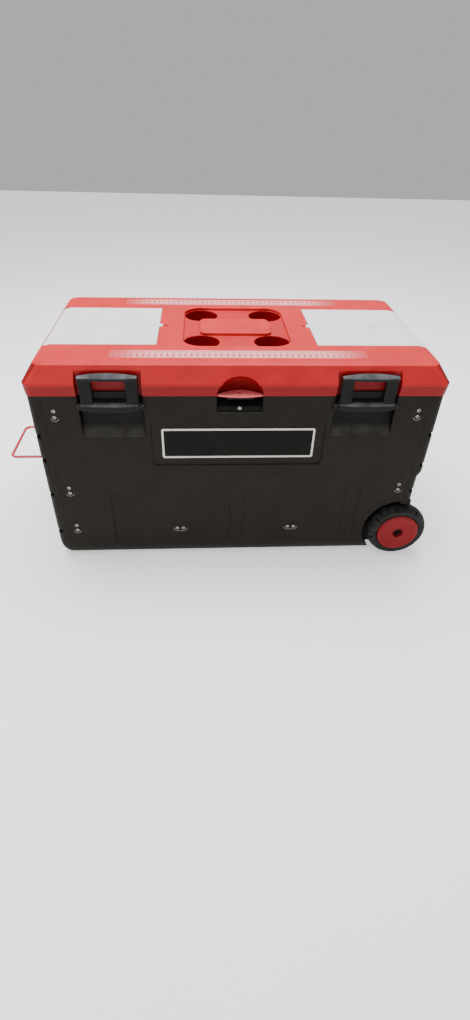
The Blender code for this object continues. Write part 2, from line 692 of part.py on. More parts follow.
def make_lid_shell():
    lid = loft("lid_shell", lid_rings(0.0, SEAM_Z, 0.0), RED)

    hollow = loft("lid_hollow", lid_rings(LID_WALL, SEAM_Z - 0.002, LID_WALL))
    jackets = [prism("recess_jacket", TRAY_RECESS[0] + 0.003, TRAY_RECESS[1] + 0.003, TRAY_RECESS_R,
                     DECK_Z - TRAY_RECESS_DEPTH - 0.003, 0.53)]
    cups = []
    for x_side in (-1, 1):
        well_x = x_side * (WELL_X0 + WELL_X1) / 2
        half = (WELL_X1 - WELL_X0) / 2
        jackets.append(prism(f"well_jacket_{x_side}", half + 0.003, WELL_Y + 0.0035, 0.006,
                             WELL_FLOOR - 0.003, 0.53, (well_x, 0.0), 1))
        cups.append(prism(f"well_{x_side}", half, WELL_Y, 0.002, WELL_FLOOR, 0.53, (well_x, 0.0), 2))
        low, high = sides(x_side, 0.4050, 0.4700)
        jackets.append(box(f"lip_jacket_{x_side}", (low, -WELL_Y - 0.0035, LIP_FLOOR - 0.003),
                           (high, WELL_Y + 0.0035, 0.53)))
        cups.append(box(f"lip_{x_side}", (low, -WELL_Y, LIP_FLOOR), (high, WELL_Y, 0.53)))
        for y_side in (-1, 1):
            centre = (x_side * CUP_X, y_side * CUP_Y)
            wide = CUP_R + 0.003
            outer = [ellipse(wide, wide, z, centre) for z in (CUP_FLOOR - 0.003, 0.515)]
            inner = [ellipse(CUP_R, CUP_R, z, centre, 28) for z in (CUP_FLOOR, 0.53)]
            jackets.append(loft(f"cup_jacket_{x_side}_{y_side}", outer))
            cups.append(loft(f"cup_{x_side}_{y_side}", inner))
        wide = LATCH_RECESS_HALF + LID_WALL
        jackets.append(box(f"latch_jacket_{x_side}", (x_side * LATCH_X - wide, -0.252, 0.44),
                           (x_side * LATCH_X + wide, -LATCH_RECESS_Y + LID_WALL, 0.52)))
    jackets.append(dome("hasp_jacket", LID_WALL))
    cut(hollow, *jackets)
    cut(lid, hollow)

    recess = prism("deck_recess", *TRAY_RECESS, TRAY_RECESS_R, DECK_Z - TRAY_RECESS_DEPTH, 0.53, steps=5)
    cut(recess, prism("deck_platform", *PLATFORM, PLATFORM_R, 0.50, 0.54, steps=3))
    cut(lid, recess, *cups)
    for x_side in (-1, 1):
        cut(lid, box(f"latch_recess_{x_side}", (x_side * LATCH_X - LATCH_RECESS_HALF, -0.27, 0.44),
                     (x_side * LATCH_X + LATCH_RECESS_HALF, -LATCH_RECESS_Y, 0.5060)))
    cut(lid, dome("hasp_dome", 0.0))
    tips = CASE_HALF_Y + 0.001
    outline = bow((-HASP_HALF, -tips), (HASP_HALF, -tips), -(0.2485 - tips), 8)[:-1]
    outline += bow((HASP_HALF, -tips), (-HASP_HALF, -tips), -(tips - 0.2185), 8)[:-1]
    tab = extruded("hasp_tab", outline, SEAM_Z, SEAM_Z + HASP_THICK + 0.0003)
    join(lid, tab)
    cut(lid, rod("hasp_hole", "Z", HASP_HOLE_R, (0, HASP_Y, 0.44), (0, HASP_Y, 0.47)))
    for x_side in (-1, 1):
        axis_x = x_side * COVER_AXIS_X
        cut(lid, rod(f"cover_bore_{x_side}", "Y", COVER_PIN_R + 0.0003, (axis_x, -0.1275, COVER_AXIS_Z),
                     (axis_x, 0.1275, COVER_AXIS_Z), segments=8))
        low, high = sides(x_side, 0.1705, 0.1820)
        cut(lid, box(f"finger_notch_{x_side}", (low, -0.012, 0.5105), (high, 0.012, 0.53)))
    return lid


# ---------------------------------------------------------------- organisers in the lid
def make_organiser(x_side, hand):
    """A small-parts bin in a well of the lid, with its translucent cover and the cover's hinge strip."""
    low, high = sides(x_side, BIN_X0, BIN_X1)
    floor = WELL_FLOOR + GAP
    parts_bin = box(f"organiser_bin_{hand}", (low, -BIN_Y, floor), (high, BIN_Y, BIN_TOP), CLEAR)
    pitch_x = (high - low - BIN_WALL) / BIN_COLUMNS
    pitch_y = (2 * BIN_Y - BIN_WALL) / BIN_ROWS
    for column in range(BIN_COLUMNS):
        for row in range(BIN_ROWS):
            x0, y0 = low + BIN_WALL + column * pitch_x, -BIN_Y + BIN_WALL + row * pitch_y
            cut(parts_bin, box(f"pocket_{hand}_{column}_{row}", (x0, y0, floor + BIN_WALL),
                               (x0 + pitch_x - BIN_WALL, y0 + pitch_y - BIN_WALL, 0.53)))

    low, high = sides(x_side, COVER_X0, COVER_X1)
    cover = box(f"organiser_cover_{hand}", (low, -COVER_Y, COVER_Z0), (high, COVER_Y, COVER_Z1), CLEAR)
    low, high = sides(x_side, 0.1735, 0.1815)
    join(cover, box(f"cover_finger_{hand}", (low, -0.008, 0.5140), (high, 0.008, 0.5162)))

    drop = COVER_AXIS_Z + COVER_ROLL_R - COVER_Z1
    outline = [(COVER_X1 + GAP, COVER_Z0), (COVER_AXIS_X, COVER_Z0 + drop),
               (COVER_AXIS_X, COVER_Z1 + drop), (COVER_X1 + GAP, COVER_Z1)]
    strip = extruded(f"organiser_hinge_{hand}", [(x_side * x, z) for x, z in outline], -COVER_Y, COVER_Y,
                     "Y", CLEAR)
    axis_x = x_side * COVER_AXIS_X

    def along_axis(name, radius, half, look=None):
        return rod(name, "Y", radius, (axis_x, -half, COVER_AXIS_Z), (axis_x, half, COVER_AXIS_Z), 8, look)

    join(strip, along_axis(f"cover_roll_{hand}", COVER_ROLL_R, COVER_Y - 0.001))
    cut(strip, along_axis(f"cover_roll_bore_{hand}", COVER_PIN_R + 0.0003, 0.1300))
    pin = along_axis(f"organiser_pin_{hand}", COVER_PIN_R, 0.1268, STEEL)
    profile = [(0.0, 0.0026), (0.0034, 0.0026), (0.0040, 0.0018), (0.0040, 0.0), (0.0, 0.0)]
    catch = turned(f"organiser_catch_{hand}", profile, (x_side * 0.1640, 0.0, DECK_Z + 0.0003), 0,
                   steps=14, look=RED)
    hang(pivot(f"organiser_axis_{hand}", (axis_x, 0.0, COVER_AXIS_Z)), cover, strip)
    return parts_bin, pin, catch


# ---------------------------------------------------------------- latches
def make_latch(x_side, hand):
    centre = x_side * LATCH_X
    outline = [(centre - LATCH_HALF, LATCH_LOW)]
    outline += bow((centre - LATCH_HALF, LATCH_LOW), (centre + LATCH_HALF, LATCH_LOW), -LATCH_ARCH, 8)[1:]
    outline += bow((centre + LATCH_HALF, LATCH_HIGH), (centre - LATCH_HALF, LATCH_HIGH), -LATCH_ARCH, 8)
    latch = extruded(f"latch_{hand}", outline, LATCH_FRONT, LATCH_BACK, "Y", DARK)
    half, low, high = LATCH_WINDOW
    window = box(f"latch_window_{hand}", (centre - half, -0.27, low), (centre + half, -0.23, high))
    face = box(f"latch_face_{hand}", (centre - 0.07, -0.27, low - 0.0005),
               (centre + 0.07, LATCH_FACE, high + 0.0015))
    knuckle = rod(f"latch_knuckle_{hand}", "X", LATCH_KNUCKLE_R,
                  (centre - LATCH_HALF + 0.001, LATCH_PIVOT_Y, LATCH_PIVOT_Z),
                  (centre + LATCH_HALF - 0.001, LATCH_PIVOT_Y, LATCH_PIVOT_Z))
    hook = box(f"latch_hook_{hand}", (centre - 0.030, LATCH_BACK - 0.001, 0.4920),
               (centre + 0.030, LATCH_BACK + 0.0055, 0.4965))
    cut(latch, window, face)
    join(latch, knuckle, hook)
    cut(latch, rod(f"latch_bore_{hand}", "X", LATCH_PIN_R + 0.0003,
                   (centre - 0.08, LATCH_PIVOT_Y, LATCH_PIVOT_Z),
                   (centre + 0.08, LATCH_PIVOT_Y, LATCH_PIVOT_Z)))
    pin = rod(f"latch_pin_{hand}", "X", LATCH_PIN_R, (centre - 0.0655, LATCH_PIVOT_Y, LATCH_PIVOT_Z),
              (centre + 0.0655, LATCH_PIVOT_Y, LATCH_PIVOT_Z), segments=10, look=STEEL)
    hang(pivot(f"latch_axis_{hand}", (centre, LATCH_PIVOT_Y, LATCH_PIVOT_Z)), latch)
    return pin


# ---------------------------------------------------------------- lid hinges
def make_hinge(x_side, hand):
    centre = x_side * HINGE_X

    def knuckles(name, spans):
        return [rod(f"{name}_{i}", "X", HINGE_KNUCKLE_R, (centre + a, HINGE_Y, HINGE_Z),
                    (centre + b, HINGE_Y, HINGE_Z)) for i, (a, b) in enumerate(spans)]

    bore = rod(f"hinge_bore_{hand}", "X", HINGE_PIN_R + 0.0003, (centre - 0.05, HINGE_Y, HINGE_Z),
               (centre + 0.05, HINGE_Y, HINGE_Z))
    face = CASE_HALF_Y + GAP
    leaf = box(f"hinge_case_leaf_{hand}", (centre - HINGE_HALF, face, 0.397),
               (centre + HINGE_HALF, face + 0.002, HINGE_Z - 0.0020), STEEL)
    spans = ((-HINGE_HALF, -0.012), (0.012, HINGE_HALF))
    webs = [box(f"hinge_web_{hand}_{i}", (centre + a, face + 0.0005, HINGE_Z - 0.0043),
                (centre + b, HINGE_Y, HINGE_Z - 0.0025)) for i, (a, b) in enumerate(spans)]
    notch = box(f"hinge_case_notch_{hand}", (centre - 0.0124, face - 0.01, HINGE_Z - 0.0050),
                (centre + 0.0124, face + 0.02, 0.47))
    cut(join(leaf, *webs, *knuckles(f"case_knuckle_{hand}", spans)), bore, notch)

    slope = (LID_WIDE[1] - LID_LOW[1]) / (LID_WIDE_Z - SEAM_Z)
    low_y = LID_LOW[1] + GAP + 0.0001
    outline = [(low_y + 0.0024 * slope, SEAM_Z + 0.0026), (low_y + 0.0220 * slope, SEAM_Z + 0.0220),
               (low_y + 0.0220 * slope + 0.002, SEAM_Z + 0.0216), (low_y + 0.0035, SEAM_Z + 0.0016),
               (HINGE_Y + 0.002, HINGE_Z + 0.002), (HINGE_Y, HINGE_Z + 0.002)]
    lid_leaf = extruded(f"hinge_lid_leaf_{hand}", outline, centre - 0.0115, centre + 0.0115, "X", STEEL)
    cut(join(lid_leaf, *knuckles(f"lid_knuckle_{hand}", ((-0.0115, 0.0115),))), bore)
    pin = rod(f"hinge_pin_{hand}", "X", HINGE_PIN_R, (centre - HINGE_HALF - 0.002, HINGE_Y, HINGE_Z),
              (centre + HINGE_HALF + 0.002, HINGE_Y, HINGE_Z), segments=10, look=STEEL)
    return lid_leaf, pin


# ---------------------------------------------------------------- wheels
def make_wheel(y_side, hand):
    face = (AXLE_X, y_side * WHEEL_FACE_Y, AXLE_Z)
    hub_profile = [(0.0140, 0.0), (0.0470, 0.0), (HUB_R, -0.0025), (HUB_R, -0.0440), (0.0465, -0.0440),
                   (0.0465, -0.0170), (0.0150, -0.0170), (0.0130, -0.0454), (BORE_R, -0.0454),
                   (BORE_R, -0.0130), (0.0125, -0.0130), (0.0125, -0.0012)]
    hub = turned(f"wheel_hub_{hand}", hub_profile, face, y_side, steps=28, look=RED)
    inner = HUB_R + 0.0003
    tyre_profile = [(0.0560, -0.0040), (0.0660, -0.0048), (0.0718, -0.0100), (TYRE_R, -0.0200),
                    (TYRE_R, -0.0300), (0.0718, -0.0400), (0.0660, -0.0452), (0.0560, -0.0460),
                    (inner, -0.0430), (inner, -0.0070)]
    tyre = turned(f"tyre_{hand}", tyre_profile, face, y_side, steps=32, look=TYRE)
    nut_profile = [(0.0068, 0.0), (0.0098, 0.0), (0.0105, -0.0008), (0.0105, -0.0026), (0.0063, -0.0026),
                   (0.0063, -0.0005)]
    nut = turned(f"axle_nut_{hand}", nut_profile, (AXLE_X, y_side * (WHEEL_FACE_Y - 0.0099), AXLE_Z),
                 y_side, steps=16, look=STEEL)
    return hub, tyre, nut


def make_axle():
    end = WHEEL_FACE_Y - 0.0085
    return rod("axle", "Y", AXLE_R, (AXLE_X, -end, AXLE_Z), (AXLE_X, end, AXLE_Z), segments=20, look=STEEL)


# ---------------------------------------------------------------- pull handle
def make_handle():
    """A bent steel rod whose turned-out ends pivot in two brackets on the left end wall."""
    bend = HANDLE_BEND
    corner = HANDLE_END_X + bend
    side = HANDLE_HALF_Y - bend
    small = 0.006
    half = [(HANDLE_PIVOT_X, HANDLE_HALF_Y + 0.016), (HANDLE_PIVOT_X, HANDLE_HALF_Y + small)]
    half += arc((HANDLE_PIVOT_X - small, HANDLE_HALF_Y + small), small, 0, -90, 4)[1:]
    half += arc((corner, side), bend, 90, 180, 6)
    path = half + [(x, -y) for x, y in half[::-1]]
    handle = tube("pull_handle", [(x, y, HANDLE_Z) for x, y in path], HANDLE_R, RED_STEEL)
    hang(pivot("handle_axis", (HANDLE_PIVOT_X, 0.0, HANDLE_Z)), handle)
    for y_side, hand in ((-1, "front"), (1, "back")):
        low, high = sorted((y_side * (HANDLE_HALF_Y + 0.0090), y_side * (HANDLE_HALF_Y + 0.0200)))
        outline = [(-CASE_HALF_X - GAP, HANDLE_Z - 0.014), (-CASE_HALF_X - GAP, HANDLE_Z + 0.014)]
        outline += arc((HANDLE_PIVOT_X, HANDLE_Z), 0.0065, 60, 300, 8)
        bracket = extruded(f"handle_bracket_{hand}", outline, low, high, "Y", DARK)
        bore = rod(f"bracket_bore_{hand}", "Y", HANDLE_R + 0.0004,
                   (HANDLE_PIVOT_X, y_side * (HANDLE_HALF_Y - 0.01), HANDLE_Z),
                   (HANDLE_PIVOT_X, y_side * (HANDLE_HALF_Y + 0.0170), HANDLE_Z))
        cut(bracket, bore)


# ---------------------------------------------------------------- build
def build():
    holes = {side: rivet_holes(side) for side in (-1, 1)}
    arches = {side: wheel_arch(side, ARCH_R, 0.200) for side in (-1, 1)}
    make_panels(holes, arches)
    end_cap("end_cap_left", -1, holes, arches, BLACK)
    end_cap("end_cap_right", 1, holes, arches, BLACK)
    floor_tray(holes, BLACK)
    make_rivets()
    make_hasp_rivet()
    make_badge()

    lid_pivot = pivot("lid_axis", (0.0, HINGE_Y, HINGE_Z))
    hang(lid_pivot, make_lid_shell())
    for x_side, hand in ((-1, "left"), (1, "right")):
        make_organiser(x_side, hand)
        make_latch(x_side, hand)
        lid_leaf, _ = make_hinge(x_side, hand)
        hang(lid_pivot, lid_leaf)

    make_axle()
    for y_side, hand in ((-1, "front"), (1, "back")):
        make_wheel(y_side, hand)
    make_handle()


build()
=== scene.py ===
"""Looks of the rolling tool box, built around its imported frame. Metres, +Z up, front towards -Y."""

import math

import bmesh
import bpy
from mathutils import Matrix, Vector


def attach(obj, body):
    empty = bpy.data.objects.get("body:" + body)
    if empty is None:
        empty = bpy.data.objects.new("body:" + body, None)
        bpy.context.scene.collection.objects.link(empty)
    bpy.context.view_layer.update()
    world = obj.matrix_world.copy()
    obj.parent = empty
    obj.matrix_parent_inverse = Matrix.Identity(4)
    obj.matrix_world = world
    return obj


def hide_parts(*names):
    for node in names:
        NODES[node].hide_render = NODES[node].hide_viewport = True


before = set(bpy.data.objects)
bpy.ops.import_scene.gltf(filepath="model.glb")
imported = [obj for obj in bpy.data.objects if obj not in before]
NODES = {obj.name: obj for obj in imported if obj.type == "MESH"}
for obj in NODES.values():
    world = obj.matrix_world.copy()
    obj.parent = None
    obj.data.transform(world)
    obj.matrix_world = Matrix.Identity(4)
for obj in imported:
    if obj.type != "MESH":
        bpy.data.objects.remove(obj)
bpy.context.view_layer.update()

# ---- sizes shared with the frame
GAP = 0.0004
CASE_X, CASE_Y = 0.4470, 0.2400
CASE_LOW_X = 0.4390
STEP = (0.232, 0.252)
PANEL_X = 0.4178
WALL = 0.004
SKIRT_Z = 0.004
CURVE_Z, CURVE_IN = 0.040, 0.017
END_CURVE_Z = 0.052
END_CURVE_IN = {-1: 0.023, 1: 0.015}
SEAM_Z = 0.450
SHOULDER = SEAM_Z - 0.0006
RIM_TOP, RIM_IN = 0.461, 0.0045
FLANGE_X, FLANGE_Y = 0.385, 0.2356
DECK_Z = 0.5164
LATCH_X, LATCH_HALF = 0.274, 0.0605
LATCH_RECESS_HALF, LATCH_RECESS_Y = 0.0685, 0.2315
LATCH_PIVOT = (-0.2415, 0.4255)
HASP_Y, HASP_HOLE_R = -0.233, 0.0048
SCOOP_DEPTH, SCOOP_LOW = 0.015, 0.352
CUP = (0.080, 0.0895, 0.0405, 0.4824)
WELL = (0.1785, 0.4170, 0.1249, 0.4820)
LIP_FLOOR = 0.5075
ABOVE_LID = 0.53
QUARTER_INCH = 0.00635
COVER = (0.1795, 0.4080, 0.1240, 0.5136, 0.5166)
COVER_AXIS, COVER_ROLL_R = (0.4235, 0.5105), 0.0026
BIN_X, BIN_HALF_Y, BIN_WALL = (0.1810, 0.4040), 0.1215, 0.0018
RIB_PITCH = 0.073733
RIVET_X, RIVET_PITCH = 0.3958, 0.015
RIVET_Z = (0.4081, 0.2081, 0.0937)
FLOOR_RIVET = (0.1400, 0.0880)
HASP_RIVET_Z, BADGE_Z = 0.4195, 0.33365
AXLE = AXLE_X, AXLE_Z = 0.417, 0.075
WHEEL_FACE_Y, TYRE_R, HUB_R = 0.2614, 0.075, 0.0523
ARCH_R, WELL_DISC_Y = 0.088, 0.2085
GROOVES, GROOVE_R = 8, 0.0715
HANDLE_Z, HANDLE_R = 0.200, 0.0025
HANDLE_PIVOT_X, HANDLE_END_X, HANDLE_HALF_Y = -0.4550, -0.5758, 0.078


# ---- mesh helpers
def link(name, data):
    thing = bpy.data.objects.new(name, data)
    bpy.context.scene.collection.objects.link(thing)
    return thing


def mesh_object(name, bm):
    bmesh.ops.recalc_face_normals(bm, faces=bm.faces)
    mesh = bpy.data.meshes.new(name)
    bm.to_mesh(mesh)
    bm.free()
    return link(name, mesh)


def loft(name, rings):
    bm = bmesh.new()
    rows = [[bm.verts.new(p) for p in ring] for ring in rings]
    count = len(rows[0])
    for lower, upper in zip(rows, rows[1:]):
        for i in range(count):
            j = (i + 1) % count
            bm.faces.new((lower[i], lower[j], upper[j], upper[i]))
    bm.faces.new(rows[0][::-1])
    bm.faces.new(rows[-1])
    return mesh_object(name, bm)


def box(name, first, second):
    """A box between two opposite corners, given in either order."""
    low, high = (Vector([pick(pair) for pair in zip(first, second)]) for pick in (min, max))
    bm = bmesh.new()
    bmesh.ops.create_cube(bm, size=1.0, matrix=Matrix.Diagonal((*(high - low), 1.0)))
    bmesh.ops.translate(bm, vec=(low + high) / 2, verts=bm.verts)
    return mesh_object(name, bm)


def rod(name, axis, radius, at, first, second, segments=48):
    """A round bar between two places on an axis; at holds the other two coordinates in order."""
    index = "XYZ".index(axis)
    middle = (*at[:index], (first + second) / 2, *at[index:])
    turn = (Matrix.Rotation(math.pi / 2, 4, "Y"), Matrix.Rotation(-math.pi / 2, 4, "X"),
            Matrix.Identity(4))[index]
    bm = bmesh.new()
    bmesh.ops.create_cone(bm, cap_ends=True, segments=segments, radius1=radius, radius2=radius,
                          depth=abs(second - first), matrix=Matrix.Translation(middle) @ turn)
    return mesh_object(name, bm)


def rounded(half_x, half_y, radius, z, steps=8, centre=(0.0, 0.0)):
    points = []
    for corner in range(4):
        sign_x = 1 if corner in (0, 3) else -1
        sign_y = 1 if corner in (0, 1) else -1
        for step in range(steps + 1):
            angle = math.pi / 2 * (corner + step / steps)
            points.append(Vector((centre[0] + sign_x * (half_x - radius) + radius * math.cos(angle),
                                  centre[1] + sign_y * (half_y - radius) + radius * math.sin(angle), z)))
    return points


def circle(radius, z, centre, steps=64, squash=1.0):
    turns = [2 * math.pi * i / steps for i in range(steps)]
    return [Vector((centre[0] + radius * math.cos(a), centre[1] + squash * radius * math.sin(a), z))
            for a in turns]


def arc(centre, radius, start, end, steps):
    points = []
    for step in range(steps + 1):
        angle = math.radians(start + (end - start) * step / steps)
        points.append((centre[0] + radius * math.cos(angle), centre[1] + radius * math.sin(angle)))
    return points


def eased(points, reach, steps=4):
    """A polyline of tuples with its inner corners rounded over the given reach."""
    points = [Vector(p) for p in points]
    out = [points[0]]
    for before, here, after in zip(points, points[1:], points[2:]):
        first = here + (before - here) * min(0.45, reach / (before - here).length)
        last = here + (after - here) * min(0.45, reach / (after - here).length)
        for i in range(steps + 1):
            t = i / steps
            out.append(first * (1 - t) ** 2 + here * 2 * t * (1 - t) + last * t * t)
    return out + [points[-1]]


def extruded(name, outline, low, high, axis="Z"):
    """Outline points are (x, y) for Z, (x, z) for Y and (y, z) for X."""
    lift = {"Z": lambda p, h: (p[0], p[1], h), "Y": lambda p, h: (p[0], h, p[1]),
            "X": lambda p, h: (h, p[0], p[1])}[axis]
    return loft(name, [[lift(p, low) for p in outline], [lift(p, high) for p in outline]])


def turned(name, profile, centre, outward, steps=96):
    """A closed (radius, height) profile turned about an axis along Y through centre."""
    bm = bmesh.new()
    rings = []
    for i in range(steps):
        angle = 2 * math.pi * i / steps
        rings.append([bm.verts.new((centre[0] + r * math.cos(angle), centre[1] + outward * h,
                                    centre[2] + r * math.sin(angle))) for r, h in profile])
    count = len(profile)
    for i in range(steps):
        first, second = rings[i], rings[(i + 1) % steps]
        for j in range(count):
            k = (j + 1) % count
            bm.faces.new((first[j], first[k], second[k], second[j]))
    return mesh_object(name, bm)


def settle(thing):
    """Apply a piece's modifiers, so that helper shapes can be dropped."""
    depsgraph = bpy.context.evaluated_depsgraph_get()
    mesh = bpy.data.meshes.new_from_object(thing.evaluated_get(depsgraph))
    thing.modifiers.clear()
    old = thing.data
    thing.data = mesh
    mesh.name = thing.name
    bpy.data.meshes.remove(old)
    return thing


def shell(name, rows):
    """A wall of even thickness behind a grid of points."""
    bm = bmesh.new()
    grid = [[bm.verts.new(p) for p in row] for row in rows]
    for lower, upper in zip(grid, grid[1:]):
        for i in range(len(lower) - 1):
            bm.faces.new((lower[i], lower[i + 1], upper[i + 1], upper[i]))
    bm.normal_update()
    mesh = bpy.data.meshes.new(name)
    bm.to_mesh(mesh)
    bm.free()
    thing = link(name, mesh)
    modifier = thing.modifiers.new("thickness", "SOLIDIFY")
    modifier.thickness = WALL
    modifier.offset = -1.0
    modifier.use_even_offset = True
    return settle(thing)


def combine(thing, operation, others, tangled=False):
    """A Boolean with each of the others; tangled shapes may cross themselves."""
    for other in others:
        modifier = thing.modifiers.new(operation.lower(), "BOOLEAN")
        modifier.operation = operation
        modifier.solver = "EXACT"
        modifier.use_self = tangled
        modifier.object = other
    settle(thing)
    for other in others:
        bpy.data.objects.remove(other)
    return thing


def cut(thing, *others, tangled=False):
    return combine(thing, "DIFFERENCE", others, tangled)


def join(thing, *others, tangled=False):
    return combine(thing, "UNION", others, tangled)


def gather(name, *things):
    """One object from several separate meshes."""
    bm = bmesh.new()
    for thing in things:
        bm.from_mesh(thing.data)
        bpy.data.objects.remove(thing)
    mesh = bpy.data.meshes.new(name)
    bm.to_mesh(mesh)
    bm.free()
    return link(name, mesh)


def weld_and_bevel(thing, width, segments, angle, miter):
    weld = thing.modifiers.new("weld", "WELD")
    weld.merge_threshold = 0.00002
    if width:
        bevel = thing.modifiers.new("edges", "BEVEL")
        bevel.width = width
        bevel.segments = segments
        bevel.limit_method = "ANGLE"
        bevel.angle_limit = math.radians(angle)
        bevel.miter_outer = miter


def soften(thing, width, segments=2, angle=34):
    """Round the sharp edges a little and smooth the shading."""
    weld_and_bevel(thing, width, segments, angle, "MITER_ARC")
    settle(thing)
    thing.data.shade_smooth()
    thing.data.set_sharp_from_angle(angle=math.radians(angle))
    normals = thing.modifiers.new("normals", "WEIGHTED_NORMAL")
    normals.keep_sharp = True
    normals.weight = 60


def piece(thing, body, slot, material, *replaced):
    thing.data.materials.clear()
    thing.data.materials.append(material)
    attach(thing, body)
    if replaced:
        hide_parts(*replaced)


# ---- materials
class Graph:
    """A small wrapper that keeps node building short."""

    def __init__(self, name):
        self.material = bpy.data.materials.new(name)
        self.material.use_nodes = True
        self.tree = self.material.node_tree
        self.shader = self.tree.nodes["Principled BSDF"]
        self.where = self.tree.nodes.new("ShaderNodeTexCoord").outputs["Object"]

    def node(self, kind, inputs=(), **settings):
        node = self.tree.nodes.new("ShaderNode" + kind)
        for key, value in settings.items():
            setattr(node, key, value)
        for key, value in dict(inputs).items():
            self.feed(node.inputs[key], value)
        return node

    def feed(self, socket, value):
        if isinstance(value, bpy.types.NodeSocket):
            self.tree.links.new(value, socket)
        else:
            socket.default_value = (*value, 1.0) if socket.type == "RGBA" else value

    def scaled(self, scale):
        return self.node("Mapping", {"Vector": self.where, "Scale": scale}).outputs["Vector"]

    def noise(self, scale, detail=3.0, rough=0.5, stretch=None):
        vector = self.where if stretch is None else self.scaled(stretch)
        return self.node("TexNoise", {"Vector": vector, "Scale": scale, "Detail": detail,
                                      "Roughness": rough}).outputs["Fac"]

    def math(self, operation, first, second=0.0):
        return self.node("Math", {0: first, 1: second}, operation=operation).outputs[0]

    def times(self, first, second):
        return self.math("MULTIPLY", first, second)

    def size(self, value):
        return self.math("ABSOLUTE", value)

    def band(self, value, low, high, to_low=0.0, to_high=1.0):
        node = self.node("MapRange", {"Value": value, "From Min": low, "From Max": high,
                                      "To Min": to_low, "To Max": to_high}, interpolation_type="SMOOTHSTEP")
        return node.outputs["Result"]

    def mix(self, factor, first, second):
        node = self.node("Mix", data_type="RGBA")
        self.feed(node.inputs["Factor"], factor)
        self.feed(node.inputs["A"], first)
        self.feed(node.inputs["B"], second)
        return node.outputs["Result"]

    def axis(self, index):
        return self.node("SeparateXYZ", {"Vector": self.where}).outputs[index]

    def facing(self, index):
        normal = self.node("NewGeometry").outputs["Normal"]
        return self.node("SeparateXYZ", {"Vector": normal}).outputs[index]

    def bump(self, *layers):
        """Layers are (height, distance in metres)."""
        normal = None
        for height, distance in layers:
            node = self.node("Bump", {"Height": height, "Distance": distance, "Strength": 1.0})
            if normal is not None:
                self.tree.links.new(normal, node.inputs["Normal"])
            normal = node.outputs["Normal"]
        self.feed(self.shader.inputs["Normal"], normal)

    def finish(self, colour, rough, **sockets):
        self.feed(self.shader.inputs["Base Color"], colour)
        self.feed(self.shader.inputs["Roughness"], rough)
        for key, value in sockets.items():
            self.feed(self.shader.inputs[key.replace("_", " ")], value)
        return self.material


GRAIN_SCALE = 1400.0


def scratches(g, scale, stretch, width, keep):
    """Thin lines where a stretched cell pattern's edges run, kept only in a few places."""
    cells = g.node("TexVoronoi", {"Vector": g.scaled(stretch), "Scale": scale}, feature="DISTANCE_TO_EDGE")
    lines = g.band(cells.outputs["Distance"], 0.0, width, 1.0, 0.0)
    places = g.band(g.noise(9.0, 2.0), keep, keep + 0.05)
    return g.times(lines, places)


def lid_recess_shade_mask(g):
    """1 inside the lid's front recesses and its cups, where painted shade goes, 0 on its outer faces."""
    y, z = g.axis(1), g.axis(2)
    lower = g.math("SUBTRACT", -0.1608, g.times(z, 0.18))
    upper = g.math("SUBTRACT", g.times(z, 0.625), 0.5464)
    depth = g.math("SUBTRACT", y, g.math("MAXIMUM", lower, upper))
    front = g.times(g.band(depth, 0.0015, 0.0060), g.band(z, 0.5105, 0.5120, 1.0, 0.0))
    front = g.times(front, g.math("LESS_THAN", y, -0.18))
    cups = g.times(g.band(z, 0.5060, 0.5095, 1.0, 0.0), g.math("LESS_THAN", g.size(y), 0.15))
    return g.math("MAXIMUM", front, cups)


def moulded(name, colour, rough, grain=0.00012, mottle=0.10, dust_and_top_light=None, dust_and_top_light_amount=0.0,
            scratch=0.0, shine=0.5, painted_shade_colour=None, pocket_shade_colour=None):
    """Moulded plastic: fine grain, slow colour variation, dust on faces that look up (on the latch also
    painted top light), a few scratches, and where asked painted shade on the lid's sides, recesses and cups
    and in the case's front pockets.
    """
    g = Graph(name)
    dull, pale = (tuple(c * (1.0 + change) for c in colour) for change in (-mottle, mottle))
    shade = g.mix(g.band(g.noise(14.0, 4.0, 0.6), 0.3, 0.7), dull, pale)
    shade = g.mix(g.band(g.noise(GRAIN_SCALE / 2, 2.0, 0.6), 0.35, 0.65, 0.0, 0.35), shade, pale)
    roughness = g.band(g.noise(55.0, 4.0, 0.6), 0.3, 0.7, rough - 0.05, rough + 0.06)
    if dust_and_top_light:
        # faces that look up turn paler: dust, and on the latch also painted top light
        up = g.band(g.facing(2), 0.05, 0.65)
        cloud = g.band(g.noise(23.0, 5.0, 0.65), 0.35, 0.75, 0.35, 1.0)
        amount = g.times(g.times(up, cloud), dust_and_top_light_amount)
        shade = g.mix(amount, shade, dust_and_top_light)
    if scratch:
        lines = g.math("MAXIMUM", scratches(g, 17.0, (1.0, 1.0, 0.10), 0.006, 0.64),
                       scratches(g, 21.0, (0.12, 1.0, 1.2), 0.005, 0.66))
        shade = g.mix(g.times(lines, scratch), shade, tuple(min(1.0, c * 2.5 + 0.06) for c in colour))
    if painted_shade_colour:
        # painted shade: the lid's front slope and its skirt are darkened as they face away from the top
        # light, and its recesses and cups darker still
        lid_side_shade = g.math("ADD", g.band(g.axis(2), 0.5105, 0.5128, 0.22, 0.0),
                       g.band(g.axis(2), 0.4710, 0.4800, 0.62, 0.0))
        shade = g.mix(lid_side_shade, shade, painted_shade_colour)
        shade = g.mix(g.times(lid_recess_shade_mask(g), 0.8), shade, painted_shade_colour)
    if pocket_shade_colour:
        # painted shade: faces set back behind the front wall's face, in the scoops and the hasp pocket, are
        # darkened
        y, z = g.axis(1), g.axis(2)
        inset = g.times(g.band(y, -0.2378, -0.2350), g.band(z, 0.3730, 0.3810))
        inset = g.times(inset, g.math("LESS_THAN", y, -0.20))
        shade = g.mix(inset, shade, pocket_shade_colour)
    g.bump((g.noise(GRAIN_SCALE, 2.0, 0.5), grain), (g.noise(160.0, 3.0, 0.5), grain * 0.8))
    return g.finish(shade, roughness, Specular_IOR_Level=shine)
